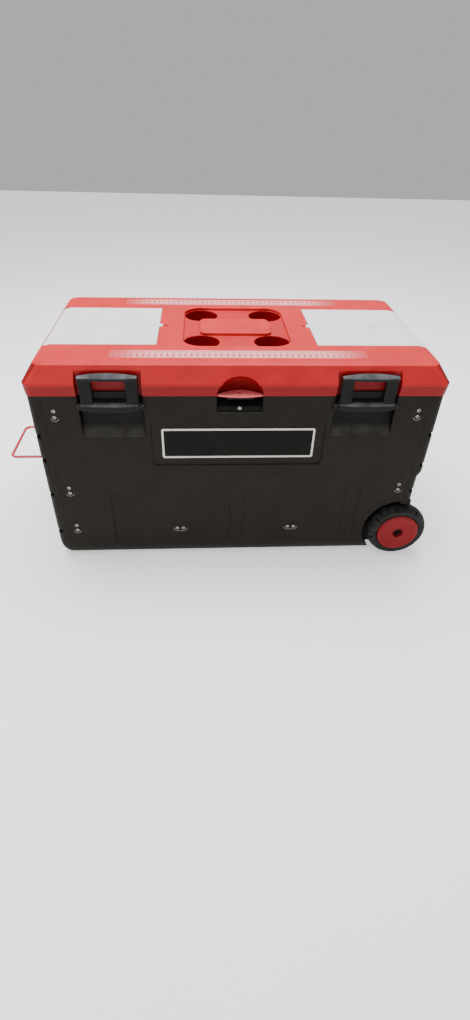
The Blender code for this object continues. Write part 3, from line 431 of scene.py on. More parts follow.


# the lid's red, with painted shade on its front slope, skirt, recesses and cups
RED = moulded("red_moulded", (0.54, 0.014, 0.017), 0.42, grain=0.00014, dust_and_top_light=(0.66, 0.16, 0.16),
              dust_and_top_light_amount=0.10, shine=0.16, painted_shade_colour=(0.17, 0.003, 0.004))
RED_DEEP = moulded("red_knobs", (0.42, 0.014, 0.016), 0.42, grain=0.00010)
RED_HUB = moulded("red_hub", (0.22, 0.006, 0.010), 0.55, dust_and_top_light=(0.40, 0.26, 0.24), dust_and_top_light_amount=0.10,
                  shine=0.15)
RED_TAB = moulded("red_hasp_tab", (0.72, 0.085, 0.100), 0.36, grain=0.00004, dust_and_top_light=(0.95, 0.42, 0.44),
                  dust_and_top_light_amount=0.45)
RED_MARK = moulded("red_ruler_marks", (0.44, 0.060, 0.062), 0.40, grain=0.00003)
# black plastic, with painted shade inside the front pockets
BLACK = moulded("black_moulded", (0.0100, 0.0074, 0.0050), 0.52, mottle=0.16, dust_and_top_light=(0.10, 0.098, 0.088),
                dust_and_top_light_amount=0.60, scratch=0.10, shine=0.14, pocket_shade_colour=(0.0022, 0.0017, 0.0012))
# painted highlight: the ridges around the rivets are grey, standing for light caught along them
LIP_HIGHLIGHT_GREY = moulded("black_lip_painted_highlight", (0.16, 0.15, 0.14), 0.45, grain=0.00004, shine=0.5)
# the latch's paler up-facing faces are dust and painted top light
DARK = moulded("latch_plastic", (0.0065, 0.0080, 0.0078), 0.40, grain=0.00006, mottle=0.12,
               dust_and_top_light=(0.17, 0.175, 0.19), dust_and_top_light_amount=0.75, scratch=0.05, shine=0.12)
BADGE_BLACK = moulded("badge_black", (0.0060, 0.0054, 0.0042), 0.45, grain=0.00005, mottle=0.15, shine=0.08)
MANDREL = moulded("rivet_centres", (0.012, 0.011, 0.010), 0.60, grain=0.00004, mottle=0.3)
OFF_WHITE = moulded("badge_white", (0.64, 0.61, 0.56), 0.45, grain=0.00004, mottle=0.05)


def painted_sheen_strip(name):
    """A red band with a pale painted sheen, patchy where rubbed, that fades out towards both ends."""
    g = Graph(name)
    along = g.size(g.axis(0))
    sheen_fade = g.band(along, 0.175, 0.285, 1.0, 0.0)
    rub = g.band(g.noise(60.0, 4.0, 0.6), 0.25, 0.75, 0.75, 1.0)
    shade = g.mix(g.times(sheen_fade, rub), (0.58, 0.040, 0.042), (0.86, 0.36, 0.36))
    g.bump((g.noise(900.0, 2.0), 0.00005))
    return g.finish(shade, g.band(rub, 0.75, 1.0, 0.40, 0.30))


SHEEN_STRIP = painted_sheen_strip("red_ruler_strip_painted_sheen")


def metal(name, colour, rough):
    g = Graph(name)
    brushed = g.noise(420.0, 3.0, 0.6, stretch=(1.0, 1.0, 4.0))
    stains = g.band(g.noise(180.0, 4.0, 0.65), 0.45, 0.75)
    dull = tuple(c * 0.62 for c in colour)
    shade = g.mix(stains, colour, dull)
    g.bump((brushed, 0.00004), (g.noise(900.0, 2.0), 0.00003))
    return g.finish(shade, g.band(stains, 0.0, 1.0, rough, rough + 0.18), Metallic=0.85)


def rubber(name):
    g = Graph(name)
    wear = g.band(g.noise(38.0, 5.0, 0.68), 0.42, 0.72)
    streak = g.band(g.noise(90.0, 3.0, 0.6, stretch=(1.0, 0.25, 1.0)), 0.50, 0.72)
    shade = g.mix(wear, (0.006, 0.0065, 0.006), (0.018, 0.019, 0.0175))
    shade = g.mix(g.times(streak, 0.5), shade, (0.045, 0.047, 0.043))
    g.bump((g.noise(700.0, 3.0, 0.6), 0.00018), (g.noise(120.0, 3.0), 0.00025))
    return g.finish(shade, g.band(wear, 0.0, 1.0, 0.62, 0.86), Specular_IOR_Level=0.22)


def milky(name):
    """Translucent polypropylene with a soft cloudiness and fine rubbed marks."""
    g = Graph(name)
    cloud = g.band(g.noise(30.0, 4.0, 0.6), 0.3, 0.7)
    shade = g.mix(cloud, (0.86, 0.81, 0.82), (0.93, 0.90, 0.905))
    across = g.size(g.axis(0))
    lines = [g.band(g.size(g.math("SUBTRACT", across, x)), 0.0006, 0.0016, 1.0, 0.0)
             for x in (0.2556, 0.3294)]
    lines.append(g.band(g.size(g.axis(1)), 0.0006, 0.0016, 1.0, 0.0))
    divider = g.math("MAXIMUM", lines[0], g.math("MAXIMUM", lines[1], lines[2]))
    shade = g.mix(g.times(divider, 0.55), shade, (0.66, 0.52, 0.54))
    marks = scratches(g, 38.0, (1.0, 0.35, 1.0), 0.012, 0.54)
    shade = g.mix(g.times(marks, 0.35), shade, (0.95, 0.94, 0.95))
    rough = g.band(g.noise(70.0, 4.0, 0.6), 0.3, 0.7, 0.34, 0.48)
    g.bump((g.noise(600.0, 2.0, 0.5), 0.00006), (g.noise(60.0, 2.0, 0.5), 0.00012))
    return g.finish(shade, rough, Transmission_Weight=0.12, IOR=1.49)


def painted(name, colour):
    g = Graph(name)
    chips = g.band(g.noise(260.0, 4.0, 0.6), 0.66, 0.70)
    shade = g.mix(g.band(g.noise(60.0, 3.0), 0.3, 0.7), tuple(c * 0.85 for c in colour), colour)
    shade = g.mix(chips, shade, (0.30, 0.26, 0.25))
    g.bump((g.noise(500.0, 2.0), 0.00003))
    return g.finish(shade, g.band(chips, 0.0, 1.0, 0.28, 0.5), Coat_Weight=0.3, Coat_Roughness=0.15)


ZINC = metal("zinc", (0.62, 0.62, 0.60), 0.34)
# painted shade: axle and nut steel kept nearly black, so the hub's centre hole reads as deep shade
AXLE_SHADE_STEEL = metal("axle_steel_painted_shade", (0.012, 0.010, 0.009), 0.70)
ALUMINIUM = metal("rivet_aluminium", (0.50, 0.50, 0.48), 0.42)
RUBBER = rubber("tyre_rubber")
MILKY = milky("milky_plastic")
PAINT = painted("handle_paint", (0.66, 0.020, 0.045))


# ---- lid
LID_PROFILE = [(0.4500, 0.4466, 0.2408, 0.0135), (0.4512, 0.4478, 0.2420, 0.0140),
               (0.4790, 0.4505, 0.2470, 0.0180), (0.5126, 0.4280, 0.2260, 0.0240),
               (0.5164, 0.4080, 0.2060, 0.0200)]
LID_WALL = 0.0035


def lid_body():
    """The lid's outer block and the block that hollows it."""
    lid = loft("lid", [rounded(x, y, r, z, 10) for z, x, y, r in eased(LID_PROFILE, 0.0016)])
    inner = [(SEAM_Z - 0.002, 0.4478, 0.2420, 0.014), (0.479, 0.4505, 0.2470, 0.018),
             (0.5105, 0.4280, 0.2260, 0.014), (DECK_Z - LID_WALL, 0.4080, 0.2060, 0.010)]
    hollow = loft("hollow", [rounded(x - LID_WALL, y - LID_WALL, r - 0.0028, z, 6) for z, x, y, r in inner])
    return lid, hollow


def prism(name, half_x, half_y, radius, low, high, centre=(0.0, 0.0), steps=8):
    return loft(name, [rounded(half_x, half_y, radius, z, steps, centre) for z in (low, high)])


def drafted(name, half_x, half_y, radius, levels, steps):
    """A prism whose outline grows by each level's offset: levels are (z, offset)."""
    return loft(name, [rounded(half_x + o, half_y + o, radius + o, z, steps) for z, o in levels])


def hasp_dome(grow):
    """Half of an egg shape over the hasp, as a cutter or, grown, as its wall."""
    rings = []
    for degrees in (0, 10, 20, 30, 40, 50, 60, 70, 78, 85):
        angle = math.radians(degrees)
        half_x = (0.0495 + grow) * math.cos(angle)
        z = SEAM_Z + 0.0040 - 0.3 * grow + (0.041 + grow) * math.sin(angle)
        rings.append(circle(half_x, z, (0.0, -0.243), 48, (0.024 + grow) / (0.0495 + grow)))
    return loft("dome", rings)


def lens_tab(name, tip_y, front_y, back_y, half, steps=24):
    """The hasp's upper tab: two bows between its tips."""
    outline = []
    for edge, run in ((front_y, 1), (back_y, -1)):
        for i in range(steps):
            t = -1.0 + 2.0 * i / steps
            outline.append((run * t * half, tip_y + (edge - tip_y) * (1 - t * t)))
    return extruded(name, outline, SEAM_Z, SEAM_Z + 0.0045)


def make_lid():
    lid, hollow = lid_body()
    cup_x, cup_y, cup_r, cup_floor = CUP
    well_low, well_high, well_y, well_floor = WELL
    jackets = [prism("j", 0.125, 0.133, 0.041, DECK_Z - 0.009, ABOVE_LID)]
    cuts = []
    for sx in (-1, 1):
        centre, half = sx * (well_low + well_high) / 2, (well_high - well_low) / 2
        jackets.append(prism("j", half + 0.003, well_y + 0.0035, 0.006, well_floor - 0.003, ABOVE_LID,
                             (centre, 0), 2))
        cuts.append(prism("well", half, well_y, 0.002, well_floor, ABOVE_LID, (centre, 0), 4))
        near, far, outer_y = sx * 0.4050, sx * 0.4700, well_y + 0.0035
        jackets.append(box("j", (near, -outer_y, LIP_FLOOR - 0.003), (far, outer_y, ABOVE_LID)))
        cuts.append(box("lip", (near, -well_y, LIP_FLOOR), (far, well_y, ABOVE_LID)))
        for sy in (-1, 1):
            at = (sx * cup_x, sy * cup_y)
            jackets.append(loft("j", [circle(cup_r + 0.003, z, at, 40) for z in (cup_floor - 0.003, 0.515)]))
            cuts.append(loft("cup", [circle(r, z, at, 72) for r, z in (
                (cup_r - 0.003, cup_floor), (cup_r - 0.0009, cup_floor + 0.0009), (cup_r, cup_floor + 0.003),
                (cup_r, 0.5096), (cup_r + 0.0009, 0.5105), (cup_r + 0.0009, 0.5200))]))
        wide = LATCH_RECESS_HALF + LID_WALL
        jackets.append(box("j", (sx * LATCH_X - wide, -0.252, 0.44),
                           (sx * LATCH_X + wide, -LATCH_RECESS_Y + LID_WALL, 0.52)))
    jackets.append(hasp_dome(LID_WALL))
    cut(hollow, *jackets)
    cut(lid, hollow)

    recess = drafted("recess", 0.122, 0.130, 0.041, (
        (DECK_Z - 0.006, -0.0008), (DECK_Z - 0.0052, 0.0), (DECK_Z - 0.0010, 0.0), (DECK_Z, 0.0010),
        (ABOVE_LID, 0.0010)), 14)
    cut(recess, drafted("platform", 0.0835, 0.050, 0.015, (
        (0.50, 0.0), (DECK_Z - 0.0018, 0.0), (DECK_Z - 0.0006, -0.0006), (DECK_Z, -0.0018),
        (0.5166, -0.0040)), 10))
    cut(lid, recess, *cuts)
    for sx in (-1, 1):
        centre = sx * LATCH_X
        half, back, roof = LATCH_RECESS_HALF, -LATCH_RECESS_Y, 0.5060
        rings = []
        for y, grow in ((-0.270, 0.0012), (back - 0.0120, 0.0), (back - 0.0012, 0.0), (back, -0.0012)):
            outline = [(centre - half - grow, 0.440), (centre + half + grow, 0.440)]
            outline += arc((centre + half - 0.005, roof - 0.005), 0.005 + grow, 0, 90, 5)
            outline += arc((centre - half + 0.005, roof - 0.005), 0.005 + grow, 90, 180, 5)
            rings.append([(x, y, z) for x, z in outline])
        cut(lid, loft("latch_recess", rings))
    cut(lid, hasp_dome(0.0))
    tab = lens_tab("hasp_tab", -0.241, -0.2485, -0.2185, 0.0495)
    for thing in (lid, tab):
        cut(thing, rod("hole", "Z", HASP_HOLE_R, (0.0, HASP_Y), 0.44, 0.475, 32))
    soften(tab, 0.0005)
    piece(tab, "lid", "red_plastic", RED_TAB)
    for sx in (-1, 1):
        x, z = sx * COVER_AXIS[0], COVER_AXIS[1]
        cut(lid, rod("bore", "Y", 0.0015, (x, z), -0.1275, 0.1275, 12),
            box("notch", (sx * 0.1705, -0.012, 0.5105), (sx * 0.1820, 0.012, ABOVE_LID)))
    soften(lid, 0.0006)
    piece(lid, "lid", "red_plastic", RED, "lid_shell")


make_lid()


# ---- ruler strips moulded into the deck
def make_ruler():
    """A raised strip with painted sheen along the front and back of the deck, with marks every quarter inch.
    """
    marks, strips = [], []
    low, high = DECK_Z - 0.0008, DECK_Z + 0.0005
    for sy in (-1, 1):
        strips.append(prism("strip", 0.2760, 0.0200, 0.0030, low, DECK_Z + 0.0003, (0.0, sy * 0.1770), 4))
        for i in range(-42, 43):
            x = i * QUARTER_INCH
            whole = i % 2 == 0
            marks.append(box("mark", (x - 0.0007, sy * 0.1605, low),
                             (x + 0.0007, sy * (0.1715 if whole else 0.1680), high)))
            if whole:
                foot, tip = sy * 0.1900, sy * 0.1740
                outline = [(x - 0.0026, foot), (x + 0.0026, foot), (x + 0.0007, tip), (x - 0.0007, tip)]
                marks.append(extruded("arrow", outline, low, high))
    strips = gather("ruler_strips", *strips)
    soften(strips, 0.0002, 1, 34)
    piece(strips, "lid", "red_plastic", SHEEN_STRIP)
    marks = gather("ruler_marks", *marks)
    soften(marks, 0.0, 1, 34)
    piece(marks, "lid", "red_plastic", RED_MARK)


make_ruler()


# ---- front and back panels
def curved_in(z, height, amount):
    if z >= height:
        return 0.0
    return amount * (1.0 - math.sqrt(max(0.0, 1.0 - ((height - z) / (height - SKIRT_Z)) ** 2)))


def wall_y(z):
    return CASE_Y - RIM_IN if z > SHOULDER else CASE_Y - curved_in(z, CURVE_Z, CURVE_IN)


def wall_x(z, side):
    if z > SHOULDER:
        return CASE_X - RIM_IN
    low = CASE_LOW_X if side > 0 else CASE_X
    share = min(1.0, max(0.0, (z - STEP[0]) / (STEP[1] - STEP[0])))
    share = share * share * (3 - 2 * share)
    return low + (CASE_X - low) * share - curved_in(z, END_CURVE_Z, END_CURVE_IN[side])


CURVE_ROWS = [SKIRT_Z + (CURVE_Z - SKIRT_Z) * (1 - math.cos(math.pi / 2 * i / 12)) for i in range(13)]
RIM_ROWS = [SHOULDER, SHOULDER + 0.0003, RIM_TOP]


def pocket(name, centre, rings, top, steps=6):
    """A pocket through (y, half width, lower edge, corner radius) rings, open at the top."""
    loops = []
    for y, half, low, radius in rings:
        outline = [(centre - half, top)]
        outline += arc((centre - half + radius, low + radius), radius, 180, 270, steps)
        outline += arc((centre + half - radius, low + radius), radius, 270, 360, steps)
        outline.append((centre + half, top))
        loops.append([(x, y, z) for x, z in outline])
    return loft(name, loops)


def flute(side, x):
    """A soft vertical channel, deepest along its middle and fading out at both ends."""
    low, high, half, depth, run_out = 0.042, 0.2095, 0.020, 0.0026, 0.010
    flank = (1.0, 0.96, 0.92, 0.88, 0.84, 0.80, 0.4)
    rings = []
    for share in (0.0, 0.015, 0.035, 0.06, 0.5, 0.90, 0.94, 0.97, 0.985, 1.0):
        z = low + (high - low) * share
        deep = depth * min(1.0, math.sqrt(max(0.0, min(z - low, high - z) / run_out)))
        ring = [(x + end * (half + 0.002), side * (CASE_Y + 0.004), z) for end in (-1, 1)]
        for t in (*flank, 0.0, *(-t for t in flank[::-1])):
            shape = 0.5 + 0.5 * math.cos(math.pi * max(0.0, (abs(t) - 0.80) / 0.20))
            ring.append((x + half * t, side * (CASE_Y + 0.0002 - (deep + 0.0002) * shape), z))
        rings.append(ring)
    return loft("flute", rings)


def stadium_lip(side, x, z, along_x):
    """The lower half of a low rounded ridge around a pair of rivets."""
    half, radius = RIVET_PITCH / 2, 0.0090
    if along_x:
        path = [(x - half - radius, z)] + arc((x - half, z), radius, 180, 270, 6)[1:]
        path += arc((x + half, z), radius, 270, 360, 6)
    else:
        path = arc((x, z - half), radius, 195, 345, 10)
    width, foot = 0.0011, -0.0008
    rings = []
    for index, (px, pz) in enumerate(path):
        ahead, behind = path[min(index + 1, len(path) - 1)], path[max(index - 1, 0)]
        run = Vector((ahead[0] - behind[0], ahead[1] - behind[1])).normalized()
        high = 0.0001 if index in (0, len(path) - 1) else 0.0012
        section = ((-width, foot), (-width, 0.0), (-width / 2, high), (width / 2, high), (width, 0.0),
                   (width, foot))
        rings.append([(px - run.y * offset, side * (CASE_Y + lift), pz + run.x * offset)
                      for offset, lift in section])
    return loft("lip", rings)


def rivet_pairs():
    pairs = []
    for sx, label in ((-1, "left"), (1, "right")):
        for level, z in zip(("top", "middle", "bottom"), RIVET_Z if sx < 0 else RIVET_Z[:2]):
            pairs.append((f"{label}_{level}", sx * RIVET_X, z, False))
        pairs.append((f"{label}_floor", sx * FLOOR_RIVET[0], FLOOR_RIVET[1], True))
    return pairs


def wheel_arch(side, radius, inner_y):
    return rod("arch", "Y", radius, AXLE, side * 0.29, side * inner_y, 96)


def panel(name, side):
    rows = []
    for z in CURVE_ROWS + RIM_ROWS:
        row = [(-PANEL_X, side * wall_y(z), z), (PANEL_X, side * wall_y(z), z)]
        rows.append(row if side < 0 else row[::-1])
    thing = shell(name, rows)
    cut(thing, *(flute(side, x) for x in (-0.286, 0.0, 0.286)))
    cut(thing, wheel_arch(side, ARCH_R, 0.200))
    return cut(thing, rod("arch", "Y", ARCH_R + 0.0037, AXLE, side * 0.2358, side * 0.2, 96))


def panel_lips(side):
    lips = [stadium_lip(side, x, z, along) for _, x, z, along in rivet_pairs()]
    lips = gather("rivet_lips_" + ("front" if side < 0 else "back"), *lips)
    lips.data.shade_smooth()
    # the ridges get the painted highlight grey
    piece(lips, "case", "black_plastic", LIP_HIGHLIGHT_GREY)


def make_front_panel():
    front = panel("front_wall", -1)
    face = -CASE_Y
    back, hasp_back = face + SCOOP_DEPTH, face + 0.028
    jackets, pockets = [], []
    for sx in (-1, 1):
        centre = sx * LATCH_X
        jackets.append(pocket("j", centre, [
            (face + 0.001, 0.0715, SCOOP_LOW - 0.0045, 0.012),
            (back - 0.001, 0.0715, SCOOP_LOW + 0.004, 0.012),
            (back + WALL, 0.0700, SCOOP_LOW + 0.026, 0.012)], RIM_TOP))
        pockets.append(pocket("scoop", centre, [
            (face - 0.006, 0.0700, 0.3480, 0.0120), (face - 0.0001, 0.0690, 0.3500, 0.0120),
            (face + 0.0010, 0.0680, 0.3518, 0.0120), (face + 0.0040, 0.0674, 0.3552, 0.0125),
            (face + 0.0080, 0.0668, 0.3600, 0.0130), (face + 0.0112, 0.0662, 0.3650, 0.0140),
            (face + 0.0134, 0.0658, 0.3705, 0.0150), (face + 0.0146, 0.0655, 0.3770, 0.0150),
            (back, 0.0652, 0.3860, 0.0150)], 0.48, 10))
    jackets.append(pocket("j", 0.0, [
        (face + 0.001, 0.054, 0.4025, 0.004), (face + 0.0095, 0.054, 0.4065, 0.004),
        (hasp_back + WALL, 0.050, 0.4345, 0.004)], RIM_TOP))
    pockets.append(pocket("hasp", 0.0, [
        (face - 0.006, 0.0505, 0.4065, 0.003), (face - 0.0001, 0.0500, 0.4085, 0.003),
        (face + 0.0055, 0.048, 0.4125, 0.003), (face + 0.0060, 0.048, 0.4225, 0.003),
        (hasp_back, 0.046, 0.4425, 0.003)], 0.48))
    join(front, *jackets)
    cut(front, *pockets)
    ring = rounded(0.1945, 0.058, 0.011, 0.0, 8, (0.0, 0.3332))
    recess = loft("recess", [[(p.x, y, p.y) for p in ring] for y in (face - 0.004, face + 0.0025)])
    cut(front, recess)
    for centre, half, depth in ((-LATCH_X, 0.0745, SCOOP_DEPTH), (0.0, 0.0570, 0.028),
                                (LATCH_X, 0.0745, SCOOP_DEPTH)):
        cut(front, box("gap", (centre - half, face - 0.001, SHOULDER - 0.0012),
                       (centre + half, face + depth - 0.0011, RIM_TOP + 0.01)))
    ears = []
    for latch in (-1, 1):
        for hand in (-1, 1):
            near = latch * LATCH_X + hand * (LATCH_HALF + 0.0009)
            far = latch * LATCH_X + hand * (LATCH_RECESS_HALF + 0.003)
            outline = [(-0.2265, 0.4175), (-0.2265, 0.4345)] + arc(LATCH_PIVOT, 0.0062, 80, 280, 16)
            ears.append(extruded("ear", outline, min(near, far), max(near, far), "X"))
    tab = [(-0.030, -0.209), (0.030, -0.209), (0.030, -0.240)]
    tab += arc((0.024, -0.240), 0.006, 0, -90, 6) + arc((-0.024, -0.240), 0.006, 270, 180, 6)
    ears.append(extruded("tab", tab, SHOULDER - 0.004, SHOULDER - 0.0002))
    join(front, *ears)
    cut(front, rod("hole", "Z", HASP_HOLE_R, (0.0, HASP_Y), 0.436, 0.470, 32),
        rod("hole", "Y", 0.0031, (0.0, HASP_RIVET_Z), -0.250, -0.2265, 24))
    for latch in (-1, 1):
        centre = latch * LATCH_X
        cut(front, rod("bore", "X", 0.0027, LATCH_PIVOT, centre - 0.0665, centre + 0.0665, 24))
    soften(front, 0.0005)
    piece(front, "case", "black_plastic", BLACK, "front_panel")
    ledges = [box("ledge", (c - 0.0480, -0.2365, SHOULDER - 0.006), (c + 0.0480, -0.2320, 0.4585))
              for c in (-LATCH_X, LATCH_X)]
    ledges = gather("latch_ledges", *ledges)
    soften(ledges, 0.0006)
    piece(ledges, "case", "black_plastic", BLACK)


def make_back_panel():
    back = panel("back_wall", 1)
    soften(back, 0.0005)
    piece(back, "case", "black_plastic", BLACK, "back_panel")


make_front_panel()
make_back_panel()
panel_lips(-1)
panel_lips(1)


# ---- end caps
NOTCH_Z = {-1: (0.3530, 0.2910, 0.1950, 0.0820), 1: (0.3530, 0.2700, 0.1950)}


def make_end_cap(name, side, node):
    end_rows = [SKIRT_Z + (END_CURVE_Z - SKIRT_Z) * (1 - math.cos(math.pi / 2 * i / 12)) for i in range(13)]
    step_rows = [STEP[0] + (STEP[1] - STEP[0]) * i / 8 for i in range(9)]
    rows = []
    for z in sorted({*CURVE_ROWS[1:], *end_rows, *step_rows, *RIM_ROWS}):
        half_x, half_y = wall_x(z, side), wall_y(z)
        radius = min(0.014, half_x - PANEL_X - 0.0015)
        path = [(PANEL_X + GAP, -half_y)] + arc((half_x - radius, radius - half_y), radius, -90, 0, 10)
        path += arc((half_x - radius, half_y - radius), radius, 0, 90, 10) + [(PANEL_X + GAP, half_y)]
        rows.append([(side * x, y, z) for x, y in (path if side > 0 else path[::-1])])
    cap = shell(name, rows)
    parts = [box("plate", (side * 0.3712, -WELL_DISC_Y, SKIRT_Z + 0.0006),
                 (side * 0.430, WELL_DISC_Y, SKIRT_Z + WALL - 0.0006))]
    for sy in (-1, 1):
        outline = [(FLANGE_X, FLANGE_Y), (PANEL_X + 0.001, FLANGE_Y), (PANEL_X + 0.001, CASE_Y - 0.002),
                   (0.426, CASE_Y - 0.002), (0.426, FLANGE_Y - WALL), (FLANGE_X, FLANGE_Y - WALL)]
        parts.append(extruded("flange", [(side * x, sy * y) for x, y in outline], CURVE_Z + 0.002, 0.443))
    join(cap, *parts, tangled=True)
    if side > 0:
        cut(cap, *(wheel_arch(sy, ARCH_R + 0.0015, WELL_DISC_Y + 0.0015) for sy in (-1, 1)), tangled=True)
        wells = []
        for sy in (-1, 1):
            depth = FLANGE_Y - WELL_DISC_Y
            inner, outer = ARCH_R + 0.0003, ARCH_R + 0.0033
            profile = [(inner, 0.0), (outer, 0.0), (outer, -depth - 0.003), (0.004, -depth - 0.003),
                       (0.004, -depth), (inner, -depth)]
            well = turned("well", profile, (AXLE_X, sy * FLANGE_Y, AXLE_Z), sy, 96)
            clip = box("clip", (0.320, -0.26, 0.0132), (CASE_LOW_X - 0.0005, 0.26, 0.18))
            wells.append(combine(well, "INTERSECT", [clip]))
        join(cap, *wells, tangled=True)
        cut(cap, rod("bore", "Y", 0.0064, AXLE, -0.23, 0.23, 32))
    notches = []
    for z in NOTCH_Z[side]:
        edge = wall_x(z, side)
        for sy in (-1, 1):
            notches.append(box("notch", (side * (edge - 0.013), sy * 0.2245, z - 0.0055),
                               (side * (edge + 0.010), sy * 0.2500, z + 0.0055)))
    cut(cap, *notches)
    soften(cap, 0.0006)
    piece(cap, "case", "black_plastic", BLACK, node)


make_end_cap("end_wall_left", -1, "end_cap_left")
make_end_cap("end_wall_right", 1, "end_cap_right")


def make_fenders():
    """The arch's rim over each tyre, where the end wall's corner comes down to the wheel."""
    for sy, hand in ((-1, "front"), (1, "back")):
        fender = box("fender_" + hand, (AXLE_X - 0.005, sy * 0.2095, 0.130),
                     (CASE_LOW_X - 0.0006, sy * 0.2392, 0.1655))
        cut(fender, rod("arch", "Y", TYRE_R + 0.0035, AXLE, -0.3, 0.3, 96))
        soften(fender, 0.0008)
        piece(fender, "case", "black_plastic", BLACK)


make_fenders()


# ---- badge and fasteners
def flat_ring(name, half_x, half_z, radius, front, back, hole=None):
    """A plate with rounded corners on the badge's place, with a smaller hole if asked for."""
    def loop(inset, y, r):
        return [(p.x, y, p.y) for p in rounded(half_x - inset, half_z - inset, r, 0.0, 8, (0.0, BADGE_Z))]

    plate = loft(name, [loop(0.0, back, radius), loop(0.0, front + 0.0003, radius),
                        loop(0.0003, front, radius - 0.0003)])
    if hole:
        cut(plate, loft("hole", [loop(hole, y, 0.0025) for y in (front - 0.01, back + 0.01)]))
    return plate


def make_badge():
    face = -CASE_Y + 0.0025
    border = flat_ring("badge_border", 0.1717, 0.03765, 0.005, face - 0.0022, face - GAP, 0.0046)
    soften(border, 0.0002)
    piece(border, "case", "white_plastic", OFF_WHITE, "badge_frame")
    plate = flat_ring("badge_field", 0.1717 - 0.005, 0.03765 - 0.005, 0.0022, face - 0.0016, face - GAP)
    soften(plate, 0.0002, 1, 34)
    piece(plate, "case", "dark_plastic", BADGE_BLACK, "badge_plate")


def rivet_head(x, side, z, radius=0.0047, lift=0.0019, shank=0.0080, at_y=CASE_Y + GAP):
    k = radius / 0.0047
    profile = [(0.0004, 0.0004), (0.0020 * k, 0.0005), (0.0021 * k, lift * 0.90), (0.0025 * k, lift),
               (0.0031 * k, lift * 0.88), (0.0038 * k, lift * 0.55), (radius * 0.90, 0.0004),
               (radius * 0.90, 0.0), (0.0022 * k, 0.0), (0.0022 * k, -shank), (0.0004, -shank)]
    return turned("rivet", profile, (x, side * at_y, z), side, 28)


def make_rivets():
    mandrels = []
    for side, face in ((-1, "front"), (1, "back")):
        for label, x, z, along_x in rivet_pairs():
            parts = []
            for half in (-RIVET_PITCH / 2, RIVET_PITCH / 2):
                px, pz = (x + half, z) if along_x else (x, z + half)
                parts.append(rivet_head(px, side, pz))
                near, far = side * (CASE_Y + GAP + 0.0002), side * (CASE_Y + GAP + 0.0010)
                mandrels.append(rod("mandrel", "Y", 0.00205, (px, pz), near, far, 20))
            wide = RIVET_PITCH / 2 + 0.006
            half_x, half_z = (wide, 0.006) if along_x else (0.006, wide)
            inner, outer = sorted((side * (FLANGE_Y - WALL - GAP), side * (FLANGE_Y - WALL - 0.0022)))
            plate = loft("backing", [[(p.x, y, p.y) for p in rounded(half_x, half_z, 0.003, 0.0, 4, (x, z))]
                                     for y in (inner, outer)])
            pair = gather(f"rivet_pair_{face}_{label}", *parts, plate)
            soften(pair, 0.0, angle=40)
            piece(pair, "case", "steel", ALUMINIUM, f"rivets_{face}_{label}")
    mandrels = gather("rivet_mandrels", *mandrels)
    soften(mandrels, 0.0, angle=40)
    piece(mandrels, "case", "steel", MANDREL)
    single = rivet_head(0.0, -1, HASP_RIVET_Z, 0.0052, 0.0026, 0.0070, CASE_Y - 0.0054 + GAP)
    single.name = "hasp_rivet_head"
    soften(single, 0.0, angle=40)
    piece(single, "case", "steel", ALUMINIUM, "hasp_rivet")


make_badge()
make_rivets()


# ---- latches
def bar_loft(name, centre, half, section, steps=24):
    """Cross-sections in (y, z) along X; section(t) takes t from -1 to 1."""
    rings = []
    for i in range(steps + 1):
        t = -1.0 + 2.0 * i / steps
        rings.append([(centre + half * t, y, z) for y, z in section(t)])
    return loft(name, rings)


def make_latch(sx, hand):
    """A hinged frame with a sloped, arched grip at the top and a lens-shaped lip at the bottom."""
    centre = sx * LATCH_X
    back, face, front = -0.2410, -0.2470, -0.2515

    def top_bar(t):
        bulge = 1.0 - t * t
        high = 0.4965 + 0.0060 * bulge
        low_front = high - 0.0040 - 0.0062 * bulge
        return [(back, 0.4870), (face - 0.0012 - 0.0022 * bulge, 0.4870),
                (front + 0.0012 * (1 - bulge), low_front - 0.0012), (front + 0.0014 * (1 - bulge), low_front),
                (front + 0.0014, low_front + 0.0018 * bulge + 0.0006), (back - 0.0016, high - 0.0003),
                (back, high - 0.0012)]

    def bottom_bar(t):
        bulge = 1.0 - t * t
        high = 0.4345
        low = 0.4212 - 0.0050 * min(1.0, bulge * 1.6)
        crest = high - 0.0022 - 0.0026 * bulge
        return [(back, high), (back, low + 0.0008), (back - 0.0016, low), (front + 0.0018, low + 0.0002),
                (front + 0.0006, low + 0.0020), (front, crest), (face - 0.0004, high)]

    left, right = centre - LATCH_HALF + 0.0006, centre + LATCH_HALF - 0.0006
    frame_plate = [(left, 0.424), (right, 0.424), (right, 0.494), (left, 0.494)]
    latch = extruded("latch_frame_" + hand, frame_plate, face, back, "Y")
    knuckle = rod("knuckle", "X", 0.0055, LATCH_PIVOT, left + 0.0004, right - 0.0004, 32)
    hook = box("hook", (centre - 0.030, back - 0.001, 0.4920), (centre + 0.030, back + 0.0055, 0.4965))
    join(latch, bar_loft("top", centre, LATCH_HALF, top_bar),
         bar_loft("bottom", centre, LATCH_HALF, bottom_bar), knuckle, hook)
    rings = []
    for y, grow in ((-0.262, 0.0), (face, 0.0), (-0.2425, -0.0008), (-0.233, -0.0008)):
        outline = rounded(0.0350 + grow, 0.02575 + grow, 0.003, 0.0, 5, (centre, 0.46025))
        rings.append([(p.x, y, p.y) for p in outline])
    cut(latch, loft("window", rings), rod("bore", "X", 0.0027, LATCH_PIVOT, centre - 0.08, centre + 0.08, 24))
    soften(latch, 0.0005, 2, 30)
    piece(latch, "latch_" + hand, "dark_plastic", DARK, "latch_" + hand)
    pin = rod("latch_pivot_" + hand, "X", 0.0024, LATCH_PIVOT, centre - 0.0655, centre + 0.0655, 24)
    soften(pin, 0.0004, 2, 40)
    piece(pin, "case", "steel", ZINC, "latch_pin_" + hand)


